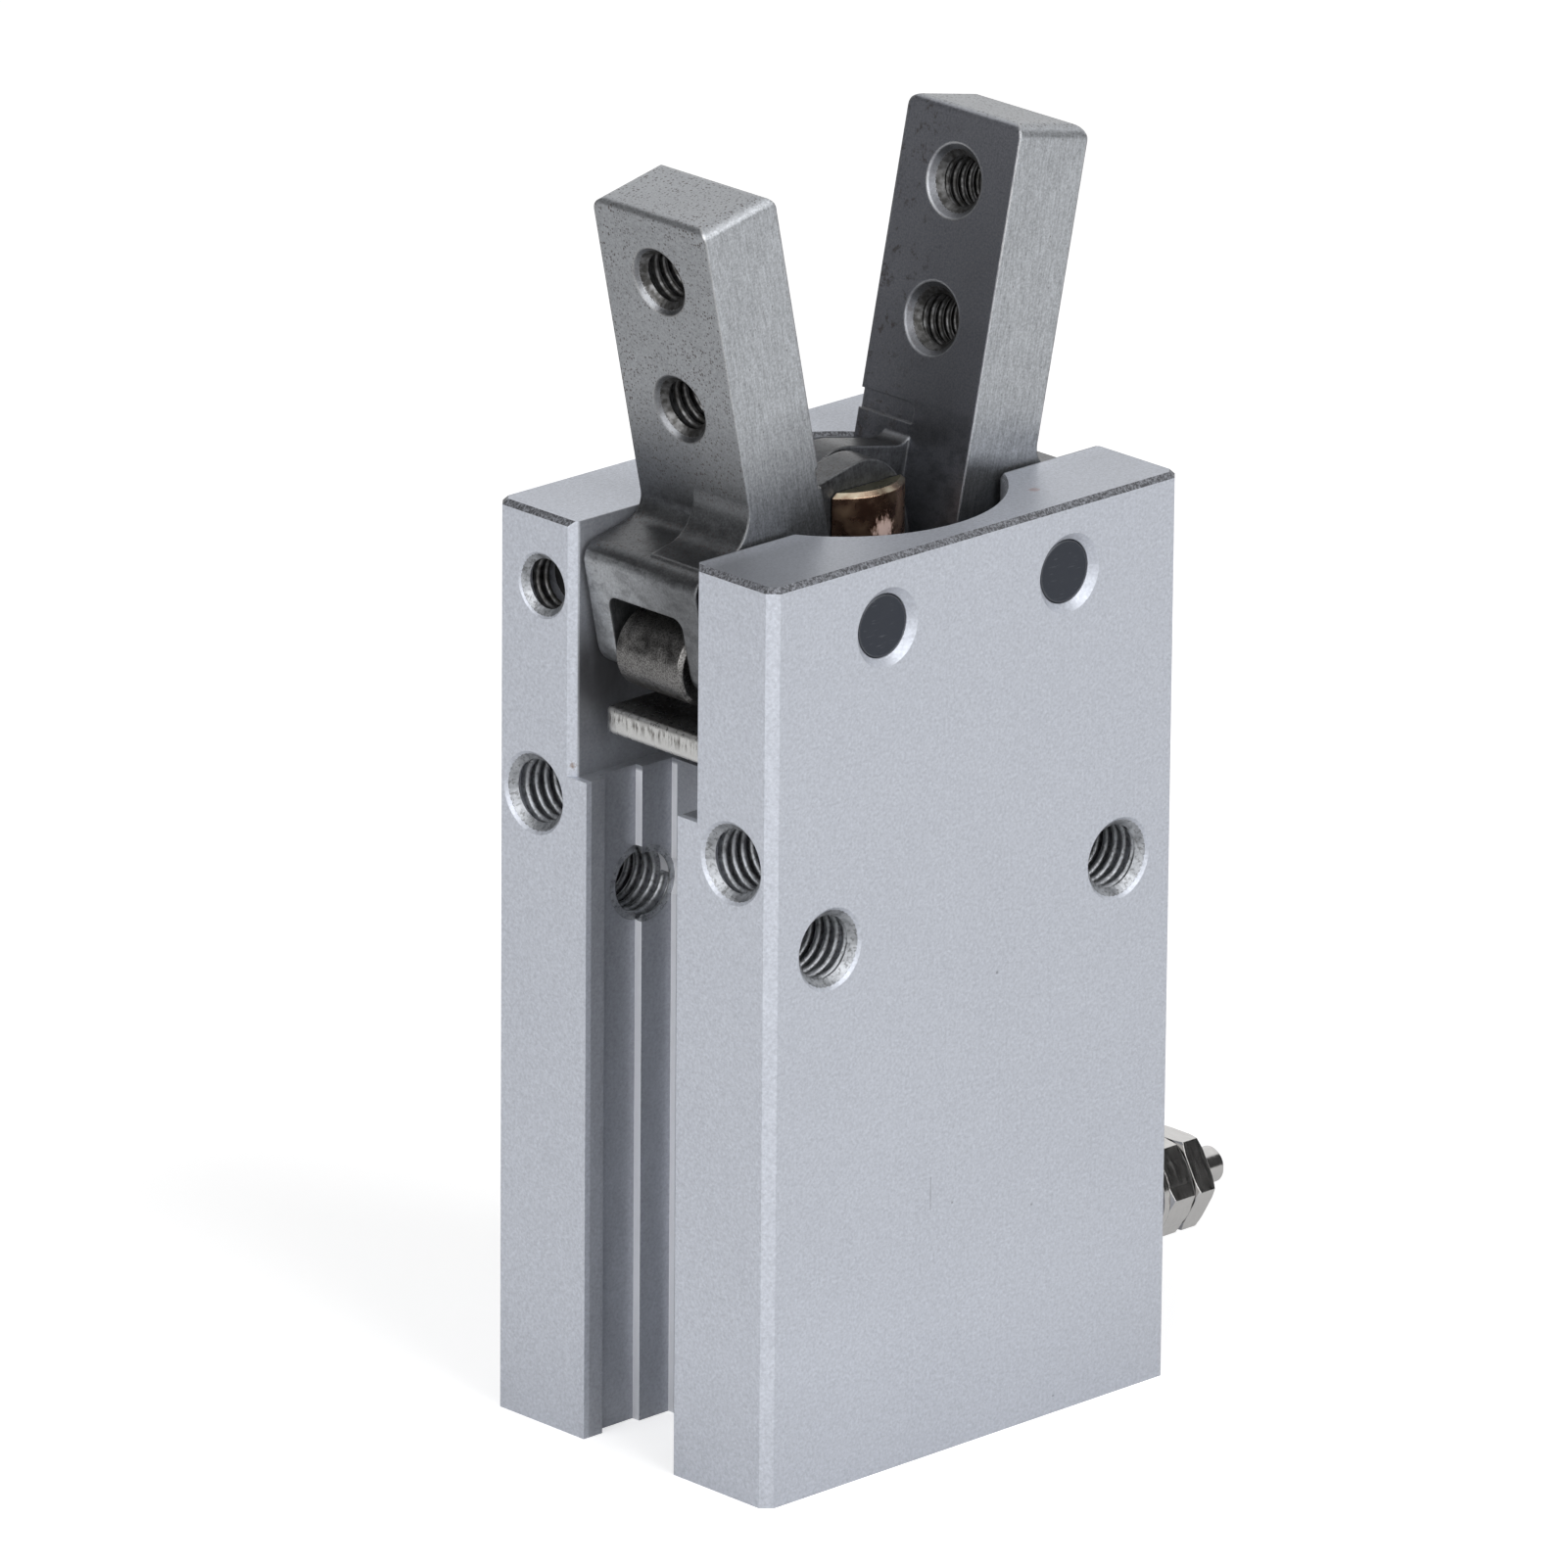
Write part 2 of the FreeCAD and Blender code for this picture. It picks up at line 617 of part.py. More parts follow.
def make_finger(name, side):
    """
    A finger with its lever in one piece, drawn closed about its pivot and then tilted.
    X runs outward times side; the arm lies in the half that side points to along Y.
    """
    body = new_body("finger_" + name)
    outer, inner = size("blade_outer"), size("blade_inner")
    length = size("finger_length")
    # The tip is rounded more on the +X side of both fingers.
    tip, outer_tip = size("blade_round_radius"), size("blade_tight_radius")
    if side > 0:
        tip, outer_tip = outer_tip, tip
    top, bottom = size("knuckle_top"), size("knuckle_bottom")
    reach = size("knuckle_reach")
    small, heel = size("shoulder_fillet"), size("knuckle_heel_radius")
    upper, lower = size("knuckle_top_radius"), size("knuckle_bottom_radius")

    # Blade and knuckle at full width.
    sketch = new_sketch(body, "XZ_Plane")
    add_outline(sketch, [
        (-inner, length - tip),
        (-inner, heel - bottom),
        (heel - inner, -bottom, heel, 1),
        (reach - lower, -bottom),
        (reach, lower - bottom, lower, 1),
        (reach, top - upper),
        (reach - upper, top, upper, 1),
        (outer + small, top),
        (outer, top + small, small, -1),
        (outer, length - outer_tip),
        (outer - outer_tip, length, outer_tip, 1),
        (tip - inner, length),
        (-inner, length - tip, tip, 1),
    ][1:], flip=side)
    prism(body, "Pad", sketch, size("finger_width"))

    # The half on the arm's side is a little higher and has a larger fillet there.
    large = size("shoulder_fillet_large")
    step_top = top + size("shoulder_step")
    sketch = new_sketch(body, "XZ_Plane", half_finger / 2 * -side)
    add_outline(sketch, [
        (outer, step_top + large),
        (0, step_top + large),
        (0, top - upper),
        (reach - upper, top - upper),
        (reach - upper / 2, top - upper / 4),
        (reach - upper, step_top),
        (outer + large, step_top),
        (outer, step_top + large, large, -1),
    ][1:], flip=side)
    prism(body, "Pad", sketch, half_finger)

    # Arm to the centre, rounded over the centre roller, with a fillet under the blade.
    arm, crest, end = size("arm_reach"), size("arm_top"), size("arm_end_radius")
    under, fillet = size("arm_bottom"), size("arm_fillet")
    corner = size("arm_bottom_radius")
    face = size("arm_recess") - inner
    sketch = new_sketch(body, "XZ_Plane", arm_middle_y * -side)
    add_outline(sketch, [
        (0, -under),
        (0, crest + fillet),
        (face, crest + fillet),
        (face - fillet, crest, fillet, -1),
        (-arm, crest),
        (-arm - end, crest - end, end, 1),
        (-arm - end, corner - under),
        (corner - arm - end, -under, corner, 1),
    ], flip=side)
    prism(body, "Pad", sketch, size("arm_thickness"))

    # Rounded top corners across the blade's width.
    corner = size("blade_edge_radius")
    sketch = new_sketch(body, "YZ_Plane")
    for end_side in SIDES.values():
        add_outline(sketch, [
            (half_finger * 2, length - corner),
            (half_finger * 2, length * 2),
            (half_finger - corner, length * 2),
            (half_finger - corner, length),
            (half_finger, length - corner, corner, -1),
        ], flip=end_side)
    prism(body, "Pocket", sketch, size("finger_width") * 2)

    # Shallow milled recess in the blade's inner face, on the arm's half.
    recess_top = size("arm_recess_height")
    corner = size("arm_recess_radius")
    edge = size("arm_gap")
    sketch = new_sketch(body, "YZ_Plane", inner * -side)
    add_outline(sketch, [
        (edge, crest + fillet),
        (half_finger * 2, crest + fillet),
        (half_finger * 2, recess_top),
        (edge + corner, recess_top),
        (edge, recess_top - corner, corner, 1),
    ], flip=side)
    prism(body, "Pocket", sketch, size("arm_recess") * 2)

    # Window for the side roller, open at the outside and below.
    half_window = size("window_width") / 2
    ceiling, floor = size("window_top"), size("window_floor")
    corner = size("window_radius")
    sketch = new_sketch(body, "YZ_Plane", (floor + reach) * side)
    add_outline(sketch, [
        (-half_window, -reach),
        (half_window, -reach),
        (half_window, ceiling - corner),
        (half_window - corner, ceiling, corner, 1),
        (corner - half_window, ceiling),
        (-half_window, ceiling - corner, corner, 1),
    ])
    prism(body, "Pocket", sketch, reach * 2)

    # Slot in the arm for the centre roller, open below.
    slot_radius, drop = size("fork_slot_radius"), size("centre_roller_drop")
    sketch = new_sketch(body, "XZ_Plane", arm_middle_y * -side)
    add_outline(sketch, [
        (-arm - slot_radius, -reach),
        (-arm + slot_radius, -reach),
        (-arm + slot_radius, -drop),
        (-arm, slot_radius - drop, slot_radius, 1),
        (-arm - slot_radius, -drop, slot_radius, 1),
    ], flip=side)
    prism(body, "Pocket", sketch, size("fork_slot_width"))

    # Holes for the pivot pin, the roller pins and the jaw screws.
    pivot_hole = size("pivot_diameter") + size("pivot_clearance") * 2
    wide = size("finger_width") * 2
    hole(body, "XZ_Plane", None, [(0, 0)], pivot_hole, wide)
    side_place = (size("side_roller_offset") * side, -size("side_roller_drop"))
    hole(body, "XZ_Plane", None, [side_place], size("side_pin_diameter"), wide)
    hole(body, "XZ_Plane", None, [(-arm * side, -drop)], size("centre_pin_diameter"), wide)
    thread = size("jaw_thread")
    jaws = hole(body, "YZ_Plane", None,
                [(0, size("jaw_hole_upper")), (0, size("jaw_hole_lower"))], thread, wide)

    def is_mouth(edge, outward):
        return (is_circle(edge, thread / 2) and near(abs(edge.Curve.Axis.x), 1)
                and edge.Curve.Center.x * side * outward > 0)

    mouths = dress(body, "Chamfer", jaws, size("jaw_chamfer"), lambda edge: is_mouth(edge, 1))
    dress(body, "Chamfer", mouths, size("jaw_inner_chamfer"), lambda edge: is_mouth(edge, -1))
    tilt_finger_piece(body, side)
    return body


def tilt_finger_piece(body, side):
    place(body, pivot_x * side, 0, pivot_z, (0, 1, 0), size("open_angle") * side)


def make_pin(name, x, y, z, diameter, length, chamfer):
    """A pin or roller blank along Y, centred on x, y, z of its own frame."""
    body = new_body(name)
    sketch = new_sketch(body, "XZ_Plane", -dim(y))
    add_circle(sketch, x, z, diameter / 2)
    blank = prism(body, "Pad", sketch, length)
    dress(body, "Chamfer", blank, chamfer, lambda edge: is_circle(edge, diameter / 2))
    return body


def make_lever_pin(name, side):
    """Pivot pin of one lever, fixed in the body's front and rear walls."""
    length = (half_depth - size("pivot_recess")) * 2
    body = make_pin("lever_shaft_" + name, 0, 0, 0, size("pivot_diameter"), length,
                    size("roller_chamfer") / 2)
    place(body, pivot_x * side, 0, pivot_z, (0, 1, 0), 0)


def make_rollers(name, side):
    """Side roller and centre roller of one lever, each on its own pin."""
    clearance = size("roller_clearance")
    places = {
        "side": (size("side_roller_offset") * side, dim(0), -size("side_roller_drop")),
        "center": (size("arm_reach") * -side, arm_middle_y * side, -size("centre_roller_drop")),
    }
    radii = {"side": size("side_roller_radius"), "center": size("centre_roller_radius")}
    widths = {"side": size("side_roller_length"), "center": size("centre_roller_width")}
    pins = {"side": size("side_pin_diameter"), "center": size("centre_pin_diameter")}
    pin_lengths = {"side": size("finger_width"), "center": size("arm_thickness")}
    for kind, (x, y, z) in places.items():
        roller = make_pin("%s_roller_%s" % (kind, name), x, y, z, radii[kind] * 2, widths[kind],
                          size("roller_chamfer"))
        sketch = new_sketch(roller, "XZ_Plane", -y)
        add_circle(sketch, x, z, pins[kind] / 2 + clearance)
        prism(roller, "Pocket", sketch, widths[kind] * 2)
        tilt_finger_piece(roller, side)
        shaft = make_pin("%s_roller_shaft_%s" % (kind, name), x, y, z, pins[kind],
                         pin_lengths[kind], clearance * 2)
        tilt_finger_piece(shaft, side)


def make_lock_screw(name, side):
    """Socket set screw whose tip bears on the lever pin."""
    body = new_body("lock_screw_" + name)
    radius = size("lock_screw_thread") / 2 - size("thread_play")
    length = size("lock_screw_length")
    socket = radius / 2
    bevel = size("roller_chamfer")
    sketch = new_sketch(body, "XZ_Plane")
    add_outline(sketch, [
        (0, 0),
        (radius / 2, 0),
        (radius, bevel * 2),
        (radius, length - bevel),
        (radius - bevel, length),
        (0, length),
    ])
    turned(body, "Revolution", sketch)
    sketch = new_sketch(body, "XY_Plane", length)
    add_hexagon(sketch, socket * 2)
    prism(body, "Pocket", sketch, length * 0.8)
    start = pivot_x + pivot_radius + size("thread_play")
    place(body, start * side, lock_screw_y, lock_screw_z, (0, 1, 0), 90 * side)


def add_hexagon(sketch, across_flats):
    """A hexagon about the origin with two flats across the sketch's X."""
    corner = across_flats / Dim("sqrt(3)", math.sqrt(3))
    flat = across_flats / 2
    add_outline(sketch, [
        (flat, -corner / 2),
        (flat, corner / 2),
        (0, corner),
        (-flat, corner / 2),
        (-flat, -corner / 2),
        (0, -corner),
    ])


def make_lever_holder():
    """Plate under the side rollers, with a cupped hub on the upper piston's rod."""
    body = new_body("lever_holder")
    half_length = size("holder_length") / 2
    half_plate = size("holder_width") / 2
    corner = size("holder_corner_radius")
    sketch = new_sketch(body, "XY_Plane", (holder_bottom + holder_top) / 2)
    add_outline(sketch, [
        (half_length - corner, -half_plate),
        (half_length, corner - half_plate, corner, 1),
        (half_length, half_plate - corner),
        (half_length - corner, half_plate, corner, 1),
        (corner - half_length, half_plate),
        (-half_length, half_plate - corner, corner, 1),
        (-half_length, corner - half_plate),
        (corner - half_length, -half_plate, corner, 1),
    ])
    plate = prism(body, "Pad", sketch, size("holder_thickness"))
    dress(body, "Fillet", plate, size("holder_edge_radius"), lambda edge: (
        near(edge.BoundBox.ZLength, 0)))
    sketch = new_sketch(body, "XZ_Plane")
    add_outline(sketch, [
        (0, hub_bottom),
        (size("hub_radius"), hub_bottom),
        (size("hub_radius"), holder_top),
        (0, holder_top),
    ])
    turned(body, "Revolution", sketch)
    sketch = new_sketch(body, "XZ_Plane")
    add_outline(sketch, [
        (0, hub_bottom),
        (size("outer_rod_tip_radius"), hub_bottom),
        (size("outer_rod_tip_radius"), hub_floor),
        (hub_cup_radius, hub_floor),
        (hub_cup_radius, holder_top),
        (0, holder_top),
    ])
    turned(body, "Groove", sketch)


def make_center_pusher():
    """Head of the inner rod: a floor under the centre rollers between two upright lugs."""
    body = new_body("center_pusher")
    radius, rim = size("pusher_radius"), size("pusher_rim_chamfer")
    sketch = new_sketch(body, "XZ_Plane")
    add_outline(sketch, [
        (0, pusher_bottom),
        (radius - rim, pusher_bottom),
        (radius, pusher_bottom + rim),
        (radius, pusher_top - rim),
        (radius - rim, pusher_top),
        (0, pusher_top),
    ])
    turned(body, "Revolution", sketch)
    sketch = new_sketch(body, "YZ_Plane")
    add_rectangle(sketch, -pusher_slot, pusher_floor, pusher_slot, pusher_top + radius)
    prism(body, "Pocket", sketch, radius * 4)
    half_flat = size("pusher_flat") / 2
    sketch = new_sketch(body, "XY_Plane", pusher_top)
    for side in SIDES.values():
        add_outline(sketch, [
            (half_flat, -radius * 2),
            (radius * 2, -radius * 2),
            (radius * 2, radius * 2),
            (half_flat, radius * 2),
        ], flip=side)
    prism(body, "Pocket", sketch, pusher_top * 2)
    hole(body, "XY_Plane", pusher_bottom, [(0, 0)], size("inner_rod_tip_radius") * 2,
         size("inner_rod_tip_length") * 2)


def make_piston_a():
    """Upper piston: head with outer and inner seal grooves, and a hollow rod."""
    body = new_body("piston_a")
    clearance = size("rod_clearance")
    rod, tip = size("outer_rod_radius"), size("outer_rod_tip_radius")
    inner = size("inner_rod_radius") + clearance
    middle = (piston_a_top + piston_a_bottom) / 2
    half_seal = size("piston_seal_width") / 2
    half_inner = size("inner_seal_width") / 2
    groove = bore_radius - size("piston_seal_depth")
    pocket = inner + size("inner_seal_depth")
    sketch = new_sketch(body, "XZ_Plane")
    add_outline(sketch, [
        (inner, piston_a_bottom),
        (piston_radius, piston_a_bottom),
        (piston_radius, middle - half_seal),
        (groove, middle - half_seal),
        (groove, middle + half_seal),
        (piston_radius, middle + half_seal),
        (piston_radius, piston_a_top),
        (rod, piston_a_top),
        (rod, hub_bottom),
        (tip, hub_bottom),
        (tip, hub_floor),
        (inner, hub_floor),
        (inner, middle + half_inner),
        (pocket, middle + half_inner),
        (pocket, middle - half_inner),
        (inner, middle - half_inner),
    ])
    turned(body, "Revolution", sketch)


def make_piston_b():
    """Lower piston: head with seal and magnet grooves, and the rod to the pusher."""
    body = new_body("piston_b")
    rod, tip = size("inner_rod_radius"), size("inner_rod_tip_radius")
    seal_top = piston_b_top - piston_b_land
    seal_bottom = seal_top - size("piston_seal_width")
    magnet_bottom = piston_b_bottom + piston_b_land
    magnet_top = magnet_bottom + size("magnet_width")
    groove = bore_radius - size("piston_seal_depth")
    magnet = bore_radius - size("magnet_depth")
    sketch = new_sketch(body, "XZ_Plane")
    add_outline(sketch, [
        (0, piston_b_bottom),
        (piston_radius, piston_b_bottom),
        (piston_radius, magnet_bottom),
        (magnet, magnet_bottom),
        (magnet, magnet_top),
        (piston_radius, magnet_top),
        (piston_radius, seal_bottom),
        (groove, seal_bottom),
        (groove, seal_top),
        (piston_radius, seal_top),
        (piston_radius, piston_b_top),
        (rod, piston_b_top),
        (rod, pusher_bottom),
        (tip, pusher_bottom),
        (tip, pusher_bottom + size("inner_rod_tip_length")),
        (0, pusher_bottom + size("inner_rod_tip_length")),
    ])
    turned(body, "Revolution", sketch)


def make_ring(name, inner, outer, bottom, top, bevel):
    """A ring about the middle axis with bevelled outer edges."""
    body = new_body(name)
    sketch = new_sketch(body, "XZ_Plane")
    add_outline(sketch, [
        (inner, bottom),
        (outer - bevel, bottom),
        (outer, bottom + bevel),
        (outer, top - bevel),
        (outer - bevel, top),
        (inner, top),
    ])
    turned(body, "Revolution", sketch)


def make_seals():
    """Seals, magnet and bumpers inside the cylinder."""
    play = size("seal_play")
    piston_groove = bore_radius - size("piston_seal_depth")
    lip = piston_radius + size("piston_clearance") / 2
    bevel = size("roller_chamfer")
    middle = (piston_a_top + piston_a_bottom) / 2
    half_seal = size("piston_seal_width") / 2 - play
    make_ring("piston_seal_a", piston_groove + play, lip, middle - half_seal,
              middle + half_seal, bevel)
    seal_top = piston_b_top - piston_b_land
    make_ring("piston_seal_b", piston_groove + play, lip,
              seal_top - size("piston_seal_width") + play, seal_top - play, bevel)
    magnet_bottom = piston_b_bottom + piston_b_land
    make_ring("magnet_ring", bore_radius - size("magnet_depth") + play, piston_radius - play,
              magnet_bottom + play, magnet_bottom + size("magnet_width") - play, bevel)

    rod_hole = size("outer_rod_radius") + size("rod_clearance")
    seal_top = partition_top - size("rod_seal_land")
    make_ring("rod_seal", size("outer_rod_radius") + size("rod_clearance") / 2,
              rod_hole + size("rod_seal_depth") - play,
              seal_top - size("rod_seal_width") + play, seal_top - play, bevel)
    inner = size("inner_rod_radius") + size("rod_clearance")
    half_seal = size("inner_seal_width") / 2 - play
    make_ring("inner_rod_seal", size("inner_rod_radius") + size("rod_clearance") / 2,
              inner + size("inner_seal_depth") - play, middle - half_seal,
              middle + half_seal, bevel)

    outer = bore_radius - size("end_gap")
    inner = outer - size("bumper_width")
    make_ring("upper_bumper", inner, outer, upper_bumper_bottom, bore_top, bevel)
    make_ring("lower_bumper", inner, outer, cap_top, lower_bumper_top, bevel)


def make_cap():
    """End cap with its seal, held in the bore by a retaining ring."""
    body = new_body("end_cap")
    middle = (cap_top + cap_bottom) / 2
    seal = size("cap_seal_radius")
    play = size("cap_seal_play")
    groove = bore_radius - seal * 2 - play
    recess = cap_thickness / 4
    rim = bore_radius - size("ring_width") * 2
    sketch = new_sketch(body, "XZ_Plane")
    add_outline(sketch, [
        (0, cap_bottom + recess),
        (rim, cap_bottom + recess),
        (rim, cap_bottom),
        (piston_radius, cap_bottom),
        (piston_radius, middle - seal * 1.5),
        (groove, middle - seal * 1.5),
        (groove, middle + seal * 1.5),
        (piston_radius, middle + seal * 1.5),
        (piston_radius, cap_top),
        (0, cap_top),
    ])
    turned(body, "Revolution", sketch)
    make_ring("cap_seal", groove + play, bore_radius - play / 2, middle - seal * 1.4,
              middle + seal * 1.4, seal / 2)

    # Retaining ring: a flat C with two eared ends that have plier holes.
    clip = new_body("retaining_ring")
    outer = ring_groove_radius - size("ring_groove_play")
    inner = outer - size("ring_width")
    level = (ring_bottom + cap_bottom) / 2
    sketch = new_sketch(clip, "XY_Plane", level)
    add_circle(sketch, 0, 0, outer)
    add_circle(sketch, 0, 0, inner)
    prism(clip, "Pad", sketch, size("ring_thickness"))
    ear = size("ring_ear_radius")
    half_gap = size("ring_gap") / 2
    sketch = new_sketch(clip, "XY_Plane", level)
    add_rectangle(sketch, -half_gap, 0, half_gap, outer * 2)
    prism(clip, "Pocket", sketch, size("ring_thickness") * 2)
    ear_x = half_gap + ear * 0.6
    ear_y = (inner * inner - ear_x * ear_x).root() - ear / 4
    for side in SIDES.values():
        sketch = new_sketch(clip, "XY_Plane", level)
        add_circle(sketch, ear_x * side, ear_y, ear)
        prism(clip, "Pad", sketch, size("ring_thickness"))
    hole(clip, "XY_Plane", level, [(-ear_x, ear_y), (ear_x, ear_y)],
         size("ring_ear_hole"), size("ring_thickness") * 2)


def make_nipple():
    """Hose nipple in the lower port: hexagonal body, clamp nut and gasket."""
    hexagon = size("nipple_hex")
    corner = hexagon / Dim("sqrt(3)", math.sqrt(3))
    bevel = size("nipple_chamfer")
    gasket = size("nipple_gasket")
    neck = gasket + size("nipple_hex_length")
    nut_start = neck + size("nipple_neck_length")
    nut_end = nut_start + size("nipple_nut_length")
    tip = nut_end + size("nipple_stem_length")
    stem = size("nipple_stem_diameter") / 2
    collar = size("nipple_collar_diameter") / 2
    screw = size("port_thread") / 2 - size("thread_play")
    bore = size("nipple_bore") / 2

    def hexagonal(name, start, end):
        """A hexagonal prism whose corners are turned down at both ends."""
        body = new_body(name)
        sketch = new_sketch(body, "XY_Plane", (start + end) / 2)
        add_hexagon(sketch, hexagon)
        prism(body, "Pad", sketch, end - start)
        outside = corner * 2
        sketch = new_sketch(body, "XZ_Plane")
        add_outline(sketch, [
            (corner - bevel, start - bevel / 2),
            (outside, start - bevel / 2),
            (outside, end + bevel / 2),
            (corner - bevel, end + bevel / 2),
            (corner - bevel, end),
            (corner, end - bevel / 2),
            (corner, start + bevel / 2),
            (corner - bevel, start),
        ])
        turned(body, "Groove", sketch)
        return body

    body = hexagonal("nipple_body", gasket, neck)
    sketch = new_sketch(body, "XZ_Plane")
    add_outline(sketch, [
        (bore, -size("nipple_thread_length")),
        (screw - bevel, -size("nipple_thread_length")),
        (screw, bevel - size("nipple_thread_length")),
        (screw, gasket),
        (corner - bevel, gasket),
        (corner - bevel, neck),
        (collar, neck),
        (collar, nut_end),
        (stem, nut_end),
        (stem, tip - bevel),
        (stem - bevel, tip),
        (bore, tip),
    ])
    turned(body, "Revolution", sketch)
    hole(body, "XY_Plane", gasket, [(0, 0)], bore * 2, tip * 4)

    nut = hexagonal("nipple_nut", nut_start, nut_end)
    hole(nut, "XY_Plane", nut_end, [(0, 0)], (collar + size("thread_play")) * 2, tip * 2)
    washer = new_body("nipple_gasket")
    sketch = new_sketch(washer, "XY_Plane", gasket / 2)
    add_circle(sketch, 0, 0, corner - bevel)
    add_circle(sketch, 0, 0, screw + size("thread_play"))
    prism(washer, "Pad", sketch, gasket)
    for piece in (body, nut, washer):
        place(piece, half_width, -port_y, opening_port_z, (0, 1, 0), 90)


def make_all():
    make_block()
    for name, side in SIDES.items():
        make_finger(name, side)
        make_lever_pin(name, side)
        make_rollers(name, side)
        make_lock_screw(name, side)
    make_lever_holder()
    make_center_pusher()
    make_piston_a()
    make_piston_b()
    make_seals()
    make_cap()
    make_nipple()


def check_and_export():
    doc.recompute()
    failed = [item.Name for item in doc.Objects
              if "Invalid" in item.State or "Error" in item.State]
    if failed:
        raise RuntimeError("failed: %s" % ", ".join(failed))
    bodies = [item for item in doc.Objects if item.TypeId == "PartDesign::Body"]
    for body in bodies:
        if body.Shape.isNull() or not body.Shape.isValid():
            raise RuntimeError("%s has no valid shape" % body.Label)
        if len(body.Shape.Solids) != 1:
            raise RuntimeError("%s is %d solids" % (body.Label, len(body.Shape.Solids)))
    os.makedirs("parts", exist_ok=True)
    for body in bodies:
        body.Shape.exportStep("parts/%s.step" % body.Label)
        box = body.Shape.BoundBox
        print("%-24s volume %9.2f  x %7.2f %7.2f  y %7.2f %7.2f  z %7.2f %7.2f" % (
            body.Label, body.Shape.Volume, box.XMin, box.XMax, box.YMin, box.YMax,
            box.ZMin, box.ZMax))


make_all()
check_and_export()
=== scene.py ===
import bpy
import json
import math
from mathutils import Matrix, Vector


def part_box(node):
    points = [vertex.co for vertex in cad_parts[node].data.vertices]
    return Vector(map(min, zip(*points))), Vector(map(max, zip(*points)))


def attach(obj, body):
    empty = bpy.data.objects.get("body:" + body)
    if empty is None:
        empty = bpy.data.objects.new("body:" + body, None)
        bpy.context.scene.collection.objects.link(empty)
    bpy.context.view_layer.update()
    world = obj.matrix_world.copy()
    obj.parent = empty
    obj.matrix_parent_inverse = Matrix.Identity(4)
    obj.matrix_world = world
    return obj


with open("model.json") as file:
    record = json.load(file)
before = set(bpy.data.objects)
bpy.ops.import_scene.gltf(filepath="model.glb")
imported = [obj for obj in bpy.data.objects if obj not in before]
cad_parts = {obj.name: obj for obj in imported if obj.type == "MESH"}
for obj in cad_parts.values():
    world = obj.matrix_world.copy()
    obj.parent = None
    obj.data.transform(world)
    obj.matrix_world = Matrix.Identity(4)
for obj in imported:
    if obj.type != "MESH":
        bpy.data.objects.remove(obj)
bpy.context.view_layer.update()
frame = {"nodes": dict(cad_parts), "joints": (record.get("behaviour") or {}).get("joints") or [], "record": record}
nodes = frame["nodes"]

MM = 0.001
SIDES = {"left": -1, "right": 1}
HOUSING = "housing"

# Places taken from the frame: the body block, the two levers' pivots and the mounts.
block_low, block_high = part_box("body")
joints = {joint["name"]: joint for joint in frame["joints"]}
pivots = {side: Vector(joints["finger_%s_pivot" % side]["pos_m"]) for side in SIDES}
mounts = {mount["name"]: mount for mount in frame["record"]["mounts"]}
OPEN_ANGLE = math.radians(12)

# Reaches of shades and marks on the body, in millimetres.
BLOCK_HEIGHT = block_high.z / MM
SLOT_HALF = 5.5
SLOT_LEDGE = 44.6
CHANNEL_FACE = 17.3
STEP_FACE = 12.95
FLOOR_EDGE = 3.6
WELL_RADIUS = 10.4
FOOT_SHADE = 9.0
# Centre of the painted shadow beside the rollers.
ROLLER_SHADOW = (-15.5, 5.5, 50.5)
RUST = (0.2, 0.12, 0.07, 1)
GRIME = (0.1, 0.1, 0.1, 1)
# Marks on the front face: place across and up, half width and half height.
FRONT_MARKS = ((1.97, 31.09, 0.1, 0.1), (-3.65, 17.7, 0.03, 1.1), (-1.75, 16.6, 0.07, 0.07),
               (5.27, 14.7, 0.07, 0.07), (7.43, 1.15, 0.09, 0.06))
# Round marks on the body: place, radius and colour.
ROUND_MARKS = (((-17.75, 5.4, 44.7), 0.5, RUST), ((-17.75, -5.5, 54.0), 0.22, GRIME),
               ((8.15, -9.1, 60.8), 0.45, (0.42, 0.3, 0.3, 1)),
               ((-17.6, -12.5, 60.7), 0.3, (0.85, 0.86, 0.88, 1)))

# Reaches on the levers, from their pivots, and on the plate and the pusher, in millimetres.
# Height where the painted shade and soil on each finger's flanks end.
FLANK_SHADE_AND_SOIL_TOP = {"left": 13.0, "right": 6.0}
HOLE_LEVELS = (13.45, 22.3)
COUNTERSINK_RADIUS = 2.3
PLATE_MIDDLE = 47.9
GREASE_PLACE = (0.0, -4.1, 58.85)
# Radians a millimetre of the rings that turning leaves.
TURNING_RINGS = 45.0

# Camera: the view of the photograph, a long lens from the left front, above.
VIEW_YAW = math.radians(-43.789)
VIEW_PITCH = math.radians(19.193)
VIEW_ROLL = math.radians(0.466)
VIEW_TARGET = Vector((0, 0, 30.4)) * MM
VIEW_SHIFT_RIGHT = 3.255 * MM
VIEW_SHIFT_UP = -9.872 * MM
VIEW_DISTANCE = 1079.9 * MM
VIEW_LENS = 391.9

# Lamps, in metres and watts: place, side of the square and power.
LAMPS = {"key": ((0.1, -1.05, 0.75), 1.0, 10.4), "fill": ((-1.0, -0.2, 0.4), 1.1, 9.4)}
LAMP_AIM = Vector((0, 0, 0.03))
WORLD_LIGHT = 0.36
FLOOR_SIDE = 8
FLOOR_TONE = 0.8
FLOOR_GLOW = 0.5
# Dark cards that only reflections see, in metres: width, height and place.
CARDS = {"dark_card_behind": (0.5, 0.5, (-0.25, 0.35, 0.2)),
         "dark_card_ahead": (0.36, 0.66, (0.42, -0.38, 0.3))}
CARD_AIM = Vector((0, 0, 0.04))
CARD_TONE = 0.01


